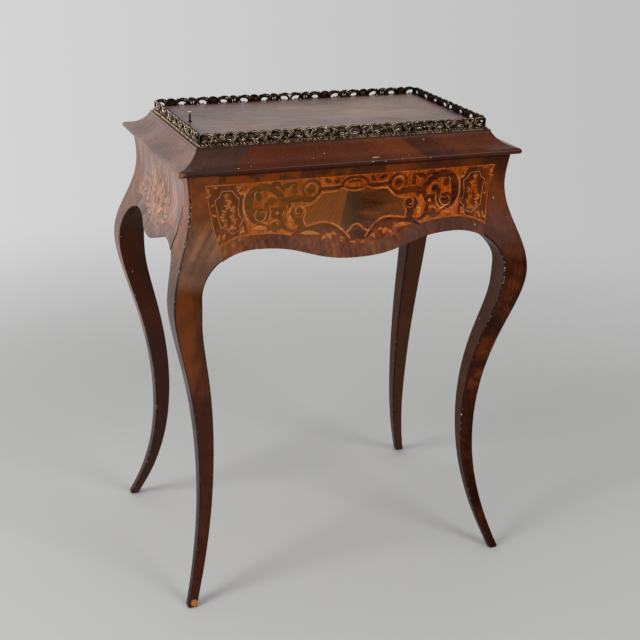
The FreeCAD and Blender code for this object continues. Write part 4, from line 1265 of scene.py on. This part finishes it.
# %% Strapwork
STRAPS = [  # points, widths, curl of (x, z, turn, last radius, eye)
    ([(119, 692), (126, 702), (136, 712.5), (148, 720), (160, 721.5), (171, 717.5), (178, 709), (181, 698),
      (180.5, 687), (177, 677), (170, 668.5), (161, 664.5), (152, 667), (147, 675), (146.5, 685)],
     (5, 10, 11, 12, 13, 13, 12, 10, 8, 7, 6), (143.5, 697, 70, 8, 6.2)),
    ([(174, 681), (169, 687), (161, 685)], (1.5, 5, 6), (161, 677, 40, 7, 8.2)),
    ([(176, 694), (175, 702), (171, 708.5)], (2, 4, 4), (164, 704.5, 90, 5, 5.2)),
    ([(147, 720), (140, 725), (133, 725), (128, 720)], (3, 8, 8, 3)),
    ([(127, 715), (119, 721), (101, 721.5)], (6, 8, 8)),
    ([(104.5, 724), (104.5, 715), (104, 706)], (7, 7, 8)),
    ([(127, 688), (120, 694), (108, 698), (94, 698), (81, 695), (72, 696)], (7, 11, 11, 9, 7, 6, 5, 4, 2),
     (77.5, 712, -320, 13, 7.6)),
    ([(117, 692), (112, 687), (109.5, 679)], (4, 6, 5, 3), (97.5, 676.5, -190, 10.5, 6.6)),
    ([(112, 649), (104, 650), (96, 654)], (2, 4, 5), (98, 661, -60, 6, 6.6)),
    ([(122, 690), (128, 680), (129.5, 669), (126.5, 659), (120, 652), (109, 648)], (5, 8, 8, 7, 3)),
    ([(129, 665), (131, 657), (138, 653.5), (147, 654.5), (156, 659.5)], (3, 6, 8, 6, 2),
     (140, 660, 0, 1, 4.6)),
    ([(15, 628), (22, 636), (32, 645), (44, 650.5), (58, 652), (74, 650.5), (92, 650), (104, 646),
      (114, 640)], (4, 8, 8, 8, 7, 6, 3)),
    ([(0, 727.3), (11, 726), (20, 720.5), (22, 714), (15, 709), (0, 708)], (4.4, 4.4, 4.4)),
    ([(22, 711.3), (40, 711), (61, 711)], (6, 6, 6)),
    ([(28.5, 727), (30, 722), (35, 720.5)], (5, 6.5, 4)),
    ([(43, 722), (48, 723.5), (54, 726)], (5, 7.5, 5)),
    ([(0, 720.6), (6, 720), (12, 717.5)], (4.6, 4.2, 1.5)),
    ([(18, 632), (11, 627.5), (5, 629.5)], (3, 5, 5), (7, 632.5, -60, 2, 4.4)),
]
STRAP_BLOCK = [(126, 670), (143, 670), (143, 687), (126, 687)]
STRAP_SHELL = [(0, 646), (7, 644.5), (11, 639), (15, 636), (10, 629), (0, 627)]

straps = bmesh.new()
for strap in STRAPS:
    scroll(straps, *strap)
shape(straps, STRAP_BLOCK)
shape(straps, STRAP_SHELL)
print(len(STRAPS), "straps a half,", len(straps.faces), "faces")

# %% Reserve and end fields
RESERVE = [(0, 703), (13, 704.5), (21, 709), (28, 705.5), (58, 703.5), (64, 697), (71, 690), (80, 686),
           (92, 685), (86, 674), (90, 665), (86, 655), (70, 657), (56, 658), (44, 655), (32, 648.5),
           (22, 640), (16, 640), (8, 645.5), (0, 650)]
END_FIELD = [(199, 728.5), (250, 728.5), (246, 705), (241.5, 675), (235.5, 636), (226, 640), (215, 644),
             (200, 649.3), (184, 652), (187, 664), (190.5, 674), (192.5, 688), (192, 704), (189, 714),
             (193, 723)]
LOWER_FIELD = [(0, 649), (8, 644.5), (16, 638), (22, 640), (32, 649), (44, 654), (58, 655.5), (74, 653.5),
               (92, 651.5), (104, 647), (113, 641.5)]
FIELD_GAP = 0.3
FIELD_STOP = LOWER_FIELD[-1][0] - 1

reserve = bmesh.new()
shape(reserve, RESERVE)
fields = bmesh.new()
shape(fields, END_FIELD)
shape(fields, LOWER_FIELD + [(x, z + FIELD_GAP) for x, z in rim_points("front") if x < FIELD_STOP])
print("reserve with", len(RESERVE), "points a half, 2 brown fields")

# %% Fine lines
STRINGING = [(225, 720.5), (208, 720), (203, 712), (196, 706), (198, 690), (197, 680), (191, 671), (197, 663),
             (196.5, 657), (211, 651.5), (219, 658.5), (229, 663), (233.5, 688), (237, 706), (230, 710.5)]
STRINGING_WIDTH = 1.0
PALE_LINES = [  # points, widths, curl of (x, z, turn, last radius, eye)
    ([(180, 722.5), (186, 713), (189.5, 703), (190, 692), (188, 681), (183, 671), (176, 664)],
     (0.6, 1.6, 2.0, 1.8, 1.2, 0.6)),
    ([(173, 680), (170.5, 671.5), (163.5, 667.3), (156, 670), (152.8, 676.5)], (0.6, 1.5, 1.5, 1.3, 1.0, 0.6),
     (159.5, 677.5, -150, 3.4, 0)),
    ([(90, 685), (96, 686), (101.5, 683.5), (103.5, 678)], (0.8, 1.6, 1.5, 1.1, 0.6),
     (97.5, 678, -120, 3.4, 0)),
    ([(68, 718), (74, 721.8), (80, 721.5)], (0.5, 1.5, 1.2, 0.6), (79, 716.5, -110, 3.4, 0)),
    ([(122, 683), (124, 676.5), (127, 672)], (0.5, 1.2, 0.5)),
    ([(131, 664.5), (134, 667), (140, 666.5), (147, 662.5)], (0.5, 1.6, 1.4, 0.5)),
    ([(170, 664), (177, 662), (184, 669), (188, 678)], (0.5, 1.2, 1.0, 0.5)),
    ([(167, 716), (171, 711), (171.5, 704)], (0.5, 1.3, 0.5)),
    ([(105, 690), (110, 684), (113.5, 675)], (0.5, 1.5, 0.6)),
]
ORANGE_LINES = [  # points, widths
    ([(0, 704), (13, 705.5)], (3, 3)), ([(12, 705), (21, 710.5)], (3, 3)),
    ([(20.5, 710.5), (29, 706)], (3, 3)), ([(28, 706.4), (58, 704.4)], (3.2, 3.2)),
    ([(57, 704.6), (64, 698), (71, 690.7), (80, 686.5), (92, 685.6), (100, 687)], (3.2, 3.6, 3.4, 2.8, 1.2)),
    ([(94, 685.3), (88, 681), (86.5, 673), (90.5, 665), (88, 657), (86, 653)], (2.0, 2.8, 2.8, 2.4)),
    ([(13, 629.5), (22, 640), (32, 649), (44, 655.5), (56, 658), (70, 657), (88, 653.8)],
     (2.2, 3, 3.2, 3, 2.6)),
    ([(0, 650.5), (5, 649.6), (9, 646.6)], (2.4, 2.6, 2.2)),
    ([(8.5, 647.5), (11.5, 643), (16, 641), (20, 637)], (2.4, 2.4, 2.2)),
    ([(26.5, 725), (27, 719), (31, 716), (45, 715.5), (54, 716.8), (57.5, 721), (58, 727)],
     (1.0, 2.0, 2.2, 2.2, 2.4, 1.6)),
    ([(134, 700), (138, 705.5), (146, 706.5), (153, 702)], (0.8, 2.2, 2.0, 0.8)),
    ([(146, 690), (145.5, 678), (149, 668), (156, 662.5)], (1.0, 2.4, 2.4, 0.8)),
    ([(104, 723), (111, 719), (113.5, 713)], (1.0, 2.6, 1.2)),
    ([(106, 689.5), (112, 683), (116.5, 674), (117, 667)], (0.8, 2.6, 3.0, 1)),
]

pale_lines = bmesh.new()
line_round(pale_lines, STRINGING, STRINGING_WIDTH)
orange_lines = bmesh.new()
for sheet, lines in ((pale_lines, PALE_LINES), (orange_lines, ORANGE_LINES)):
    for line in lines:
        scroll(sheet, *line)
print(len(PALE_LINES), "pale and", len(ORANGE_LINES), "orange lines a half")

# %% Leaves
LEAVES = [  # foot of the leaf, heading, length, width, turn
    ((64, 640), 12, 36, 6.5, -25), ((46, 631), 62, 13, 7.5, -70), ((62, 632), 140, 10, 5.0, 40),
    ((28, 625), 75, 9, 4.5, 30), ((36, 637), 25, 11, 4.5, -50), ((22, 630), 20, 9, 3.0, 40),
    ((1, 622.5), 5, 14, 4.0, 20), ((152, 656), 8, 26, 7.5, -20), ((150, 661), 30, 14, 3.5, -40),
    ((112, 656), 80, 18, 9.0, 40), ((187, 710), 60, 11, 5.0, -70), ((189, 713), 10, 11, 5.0, 70),
    ((196, 727.5), -80, 11, 5.5, 60), ((203, 727.5), 215, 9, 4.0, -40), ((252, 712), 165, 11, 5.0, -60),
    ((250, 727), 240, 12, 5.0, 50), ((240, 728), 200, 9, 4.0, -40), ((191, 652), 70, 12, 5.0, 60),
    ((199, 651), 140, 12, 4.5, -50), ((226, 643), 100, 11, 5.0, 50), ((236, 641), 120, 13, 4.5, -40),
    ((188, 682), 250, 10, 4.0, 40), ((241, 684), 215, 9, 3.5, -40), ((244, 696), 150, 9, 3.5, 40)]
BLOCK_EYE = [(131.5, 675.5), (136.5, 675.5), (136.5, 680.5), (131.5, 680.5)]
SPRAY_STEMS = ([(210, 656), (206, 668), (207.5, 684), (213, 697), (217, 709)],
               [(214, 657), (222, 668), (221.5, 684), (216, 697), (218, 709)])
STEM_WIDTHS = (0.8, 1.0, 0.7)
SPRAY_LEAVES = 13
SPRAY_HEADINGS = (150, 25, 115, 60, 175, 5, 130, 40)
SPRAY_LENGTHS = (7.5, 6.4, 5.6, 8.0, 6.0)
SPRAY_LEAF_WIDTH = 0.5
SPRAY_TURN = 50
SPRAY_FLOWERS = [(218, 712, 3.4), (206, 672, 2.4), (223, 682, 2.4), (208, 690, 2.2), (210, 660.7, 2.4)]

leaves = bmesh.new()
for values in LEAVES:
    leaf(leaves, *values)
shape(leaves, BLOCK_EYE)
sprays = bmesh.new()
for points in SPRAY_STEMS:
    stem = smooth_path(points)
    draw(sprays, stem, STEM_WIDTHS)
    for count in range(SPRAY_LEAVES):
        foot = stem[round((len(stem) - 2) * count / SPRAY_LEAVES) + 1]
        heading = SPRAY_HEADINGS[count % len(SPRAY_HEADINGS)]
        length = SPRAY_LENGTHS[count % len(SPRAY_LENGTHS)]
        turn = SPRAY_TURN if heading > 90 else -SPRAY_TURN
        leaf(sprays, (foot.x, foot.z), heading, length, length * SPRAY_LEAF_WIDTH, turn)
for values in SPRAY_FLOWERS:
    flower(sprays, *values)
print("spray of", SPRAY_LEAVES, "leaves and", len(SPRAY_FLOWERS), "flowers")

# %% Lay the long panels
lay(fields, "brown_fields", "brown_field", FIELD_PROUD, LONG_SIDES)
lay(reserve, "reserve", "reserve", FIELD_PROUD, LONG_SIDES)
lay(straps, "strapwork", "rosewood_inlay", STRAP_PROUD, LONG_SIDES)
lay(orange_lines, "orange_lines", "orange_inlay", LINE_PROUD, LONG_SIDES)
lay(sprays, "leaf_sprays", "orange_inlay", LINE_PROUD, LONG_SIDES)
lay(leaves, "ground_leaves", "orange_inlay", LINE_PROUD, LONG_SIDES)
lay(pale_lines, "pale_lines", "pale_inlay", TOP_PROUD, LONG_SIDES)

# %% [markdown]
# ## Short panels
#
# The ends of the table carry one bunch of flowers that rises from the middle of the lower edge, in faded
# leaves on a redder ground, fuller on one side than on the other. At the left end the joint between the
# apron and the front leg has opened and is full of dirt.

# %% Lay the short panels
STEMS = [([(0, 632), (4, 660), (0, 690), (3, 716)], (2.2, 2.0, 1.2)),
         ([(2, 642), (32, 657), (54, 684)], (2, 1.6, 1)), ([(2, 652), (22, 676), (30, 706)], (2, 1.6, 1)),
         ([(3, 637), (46, 650), (88, 672)], (2, 1.6, 1))]
BUNCH = [  # foot of the leaf, heading, length, width, turn
    ((8, 647), 20, 24, 8.0, 40), ((18, 655), 70, 20, 7.0, -50), ((31, 668), 30, 22, 7.2, 40),
    ((34, 676), 100, 20, 7.0, -40), ((12, 664), 110, 18, 6.6, 40), ((5, 676), 60, 22, 7.2, -50),
    ((10, 690), 30, 20, 6.8, 50), ((2, 700), 70, 17, 6.2, -40), ((31, 692), 60, 18, 6.4, 40),
    ((45, 650), 0, 24, 7.2, 50), ((58, 656), 60, 18, 6.8, -50), ((76, 660), 10, 22, 7.0, 40),
    ((39, 643), -10, 22, 7.0, 40), ((18, 637), -10, 18, 6.6, 50), ((54, 670), 50, 20, 6.8, 40),
    ((0, 710), 90, 14, 6.2, 12), ((16, 706), 50, 16, 6.0, -30), ((68, 674), 90, 17, 6.2, -40),
    ((50, 688), 80, 18, 6.2, 40), ((84, 672), 60, 20, 6.4, -40), ((30, 704), 20, 18, 6.0, 40),
    ((58, 690), 20, 20, 6.2, -40), ((92, 664), -5, 18, 6.0, 40)]
SHADE_SHIFT = (2.2, -2.4)
BLOSSOMS = [(0, 664, 6.6), (26, 685, 5.2), (48, 660, 5.4), (14, 646, 4.8), (0, 695, 5.0), (72, 680, 4.6),
            (36, 710, 4.2)]
BUNCH_RIGHT = 56
OPEN_JOINT = ([(135.5, 692), (134.5, 676), (132.5, 660), (131.5, 644), (130, 630), (129, 618)],
              (0.5, 1.6, 2.6, 4.0, 3.2, 3.6))

bunch = bmesh.new()
pale_bunch = bmesh.new()
shades = bmesh.new()
for way, reach in ((1, BUNCH_RIGHT), (-1, math.inf)):
    for points, widths in STEMS:
        if points[-1][0] < reach:
            scroll(bunch, [(way * x, z) for x, z in points], widths)
    for index, ((x, z), heading, length, width, turn) in enumerate(BUNCH):
        if x < reach:
            towards = heading if way > 0 else 180 - heading
            size = (towards, length, width, way * turn)
            leaf(pale_bunch if index % 2 else bunch, (way * x, z), *size)
            leaf(shades, (way * x + SHADE_SHIFT[0], z + SHADE_SHIFT[1]), *size)
    for x, z, size in BLOSSOMS:
        if x < reach:
            flower(bunch, way * x, z, size)
joint = bmesh.new()
scroll(joint, *OPEN_JOINT)
lay(shades, "leaf_shades", "shadow_leaf", FIELD_PROUD, SHORT_SIDES, False)
lay(bunch, "flower_bunch", "faded_leaf", STRAP_PROUD, SHORT_SIDES, False)
lay(pale_bunch, "olive_leaves", "olive_leaf", LINE_PROUD, SHORT_SIDES, False)
lay(joint, "open_joint", "joint_dirt", TOP_PROUD, ["left"], False)

# %% [markdown]
# ## Gallery
#
# A cast gallery stands round the lid: a chain of tilted oval scrolls on a foot band, by turns open and
# filled with a fan of leaves, with blades between the links and a leaf over each. The right half of a
# strip is drawn with the same pen and then mirrored. Solidify and bevel turn the flat drawing into rounded
# metal. A second drawing in front of it, of crescents, leaves and fans, gives the ribs that catch the light.

# %% Gallery links
LINKS = [  # half length, share of the height, tilt, pulls of the curl inside
    (11.6, 0.90, 16, 3), (9.4, 0.86, -14, 0), (11.0, 0.86, 10, 6), (9.6, 0.96, -8, 0)]
LINK_OVERLAP = 1.2
ROUND_PULLS = 24
CURL_SHRINK = 0.065
ROOT_LIFT = 1.0
FANS = {1: (-36, 36), 3: (-54, -19, 19, 54)}
FAN_LEAF = (0.74, 2.7)
FAN_WIDTHS = {1: (2.4, 3.2, 2.8, 1.6), 3: (4.0, 7.6, 7.6, 3.4)}
FAN_LEVELS = (0.5, 0.8)
LEAF_ACROSS = (0.22, 44, 0.56, 2.6, 60)
BLADE_TOP = 0.92
BLADE_RISE = 0.78
BLADE_DROP = 0.25
BLADE_BEND = 1.6
BLADE_LEAN = 3.4
BLADE_SPREAD = 2.6


def link_path(centre, half, tall, tilt, way, curl):
    """Once round a tilted oval from its foot, and on into a curl inside it."""
    lean = Matrix.Rotation(-math.radians(tilt), 3, "Y")
    path = []
    for step in range(ROUND_PULLS + curl + 1):
        angle = math.radians(way * step * 360 / ROUND_PULLS - 90)
        shrink = 1.0 - CURL_SHRINK * max(0, step - ROUND_PULLS)
        path.append(centre + lean @ flat(math.cos(angle) * half, math.sin(angle) * tall) * shrink)
    return path


def blades_between(place, low, rise, way):
    """Two blades that grow between a link and the next."""
    tip = flat(place, low + BLADE_TOP * rise)
    foot = tip - flat(way * BLADE_LEAN, BLADE_RISE * rise)
    return [[foot, foot.lerp(tip, 0.5) + flat(side * BLADE_BEND, 0), tip + flat(side * BLADE_SPREAD, drop)]
            for side, drop in ((way, 0.0), (-way, -BLADE_DROP * rise))]


def fill_link(sheet, centre, low, rise, room, way, kind, ribs):
    """The fan of leaves inside a link and the sheet behind it, or one leaf across an open link."""
    root = (centre.x, low + ROOT_LIFT)
    if kind in FANS and not ribs:
        stem = smooth_path([root, *[(centre.x, low + level * rise) for level in FAN_LEVELS]])
        draw(sheet, stem, FAN_WIDTHS[kind])
    elif kind in FANS:
        for spread in FANS[kind]:
            leaf(sheet, root, 90 + spread, FAN_LEAF[0] * rise, FAN_LEAF[1], spread / 2)
    elif ribs:
        aside, lean, share, width, turn = LEAF_ACROSS
        foot = (centre.x + way * aside * room, low + ROOT_LIFT)
        leaf(sheet, foot, 90 + way * lean, share * rise, width, way * turn)


print(len(LINKS), "kinds of link,", len(FANS), "of them with a fan")

# %% Gallery chain
FOOT_BAND = 4.4
TILT_CHANGE = 7
TILT_STEP = 2.4
LINK_WIDTHS = (2.6, 3.4, 4.6, 3.6, 2.6)
LINK_INSET = 2.3
CURL_START = 3
CURL_RIB = (0.4, 1.6, 0.8)
CRESCENTS = ((0, 12), (12, 22), (0, 11), (14, 24))
CRESCENT_WIDTHS = (0.6, 2.0, 2.9, 2.1, 0.5)
BLADE_WIDTHS = (5.2, 4.0, 1.6)
BLADE_RIB = (0.4, 2.0, 0.4)
CAP_LEVELS = ((-1.0, 0.72), (-0.4, 0.86), (0.3, 0.90), (1.0, 0.76))
CAP_WIDTHS = (1.4, 2.2, 2.8, 1.4)
CAP_RIB = (0.3, 1.6, 1.2, 0.4)


def run_of(links):
    """The length that some links take up in a row."""
    return sum(2 * half - LINK_OVERLAP for half, share, tilt, curl in links)


def gallery_chain(half_length, height, ribs):
    """The chain of one strip, drawn flat round x = 0: either its links or the ribs in front of them."""
    links = [LINKS[index % len(LINKS)] for index in range(round(half_length * len(LINKS) / run_of(LINKS)))]
    stretch = half_length / run_of(links)
    low = FOOT_BAND - LINK_OVERLAP
    rise = height - low
    sheet = bmesh.new()
    place = 0.0
    for index, (half, share, tilt, curl) in enumerate(links):
        way = 1 if index % 2 else -1
        room = (2 * half - LINK_OVERLAP) * stretch
        tall = share * rise / 2
        centre = flat(place + room / 2, low + tall)
        path = link_path(centre, half * stretch - LINK_INSET, tall - LINK_INSET,
                         tilt + TILT_CHANGE * math.sin(TILT_STEP * index), way, curl)
        cap = smooth_path([(centre.x + way * room / 2 * side, low + rise * level)
                           for side, level in CAP_LEVELS])
        fill_link(sheet, centre, low, rise, room, way, index % len(LINKS), ribs)
        place += room
        blades = blades_between(place, low, rise, way) if index + 1 < len(links) else []
        for blade in blades:
            draw(sheet, blade, BLADE_RIB if ribs else BLADE_WIDTHS)
        if ribs:
            first, last = CRESCENTS[index % len(CRESCENTS)]
            draw(sheet, path[first:last], CRESCENT_WIDTHS)
            draw(sheet, path[ROUND_PULLS - CURL_START:], CURL_RIB)
            draw(sheet, cap[len(cap) // 3:], CAP_RIB)
        else:
            draw(sheet, path, LINK_WIDTHS)
            draw(sheet, cap, CAP_WIDTHS)
    mirror_half(sheet)
    return sheet


print("repeat of", round(run_of(LINKS)), "mm")

# %% Gallery strips
POST = (4.4, 18)
WALL = 2.8 * MM
WALL_BACK = 2.2 * MM
WALL_SOFT = 0.5 * MM
RIB = 2.0 * MM
RIB_SOFT = 0.7 * MM


def upright(sheet, left, right, top):
    """A straight bar of the gallery that stands on its foot."""
    shape(sheet, [(left, 0), (right, 0), (right, top), (left, top)])


def set_up(sheet, side, outward, base):
    """Stands a flat drawing on a side of the table, at a distance outwards."""
    bmesh.ops.translate(sheet, vec=(0, -outward, base), verts=sheet.verts[:])
    bmesh.ops.transform(sheet, matrix=FACING[side], verts=sheet.verts[:])


def cast(piece, wall, soft):
    """Gives a flat piece its thickness and rounded edges."""
    thick = piece.modifiers.new("wall", "SOLIDIFY")
    thick.thickness = wall
    thick.offset = 0.0
    edges = piece.modifiers.new("cast_edges", "BEVEL")
    edges.width = soft
    edges.segments = 2
    edges.limit_method = "ANGLE"


def strip_size(name, side):
    """Length, distance outwards, foot and height of a strip of the frame."""
    low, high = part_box(name)
    length = (high.x - low.x) if side in LONG_SIDES else (high.y - low.y)
    outward = {"front": -low.y, "back": high.y, "left": -low.x, "right": high.x}[side]
    return length, outward, low.z, high.z - low.z


for side in SIDES:
    length, outward, base, height = strip_size("gallery_" + side, side)
    half = length / MM / 2
    chain = gallery_chain(half, height / MM, False)
    upright(chain, -half, half, FOOT_BAND)
    upright(chain, -half, POST[0] - half, POST[1])
    upright(chain, half - POST[0], half, POST[1])
    face = outward - WALL_BACK + WALL
    set_up(chain, side, face - WALL / 2, base)
    chain = make_piece("pierced_gallery_" + side, chain, metals["gallery_brass"], "case")
    cast(chain, WALL, WALL_SOFT)
    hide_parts("gallery_" + side)
    ribs = gallery_chain(half, height / MM, True)
    set_up(ribs, side, face, base)
    ribs = make_piece("gallery_ribs_" + side, ribs, metals["gallery_ribs"], "case")
    cast(ribs, RIB, RIB_SOFT)
    print(chain.name, round(length / MM), "mm long,", round(height / MM), "mm high")

# %% [markdown]
# ## Bead rows
#
# At the foot of the gallery runs a strip of small slanting beads. Each bead is a sphere, squeezed and
# leant over, and a thin fillet under the row ties the beads together.

# %% Bead rows
BEAD_PITCH = 5.6
BEAD = (3.3 * MM, 1.75 * MM, 1.35 * MM)
BEAD_LEAN = 38
FILLET = (3.0 * MM, 1.3 * MM)

for side in SIDES:
    length, outward, base, height = strip_size("bead_strip_" + side, side)
    count = round(length / (BEAD_PITCH * MM))
    pitch = length / count
    middle = -outward + BEAD[1]
    row = bmesh.new()
    lean = Matrix.Rotation(math.radians(BEAD_LEAN), 4, "Y") @ Matrix.Diagonal((*BEAD, 1))
    for step in range(count):
        place = Matrix.Translation((-length / 2 + (step + 0.5) * pitch, middle, base + height / 2))
        bmesh.ops.create_uvsphere(row, u_segments=8, v_segments=6, radius=1.0, matrix=place @ lean)
    fillet = bmesh.ops.create_cube(row, size=1.0)["verts"]
    bmesh.ops.scale(row, vec=(length, *FILLET), verts=fillet)
    bmesh.ops.translate(row, vec=(0, middle, base + FILLET[1] / 2), verts=fillet)
    bmesh.ops.transform(row, matrix=FACING[side], verts=row.verts[:])
    row = make_piece("bead_row_" + side, row, metals["bead_brass"], "case")
    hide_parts("bead_strip_" + side)
    print(row.name, count, "slanting beads")
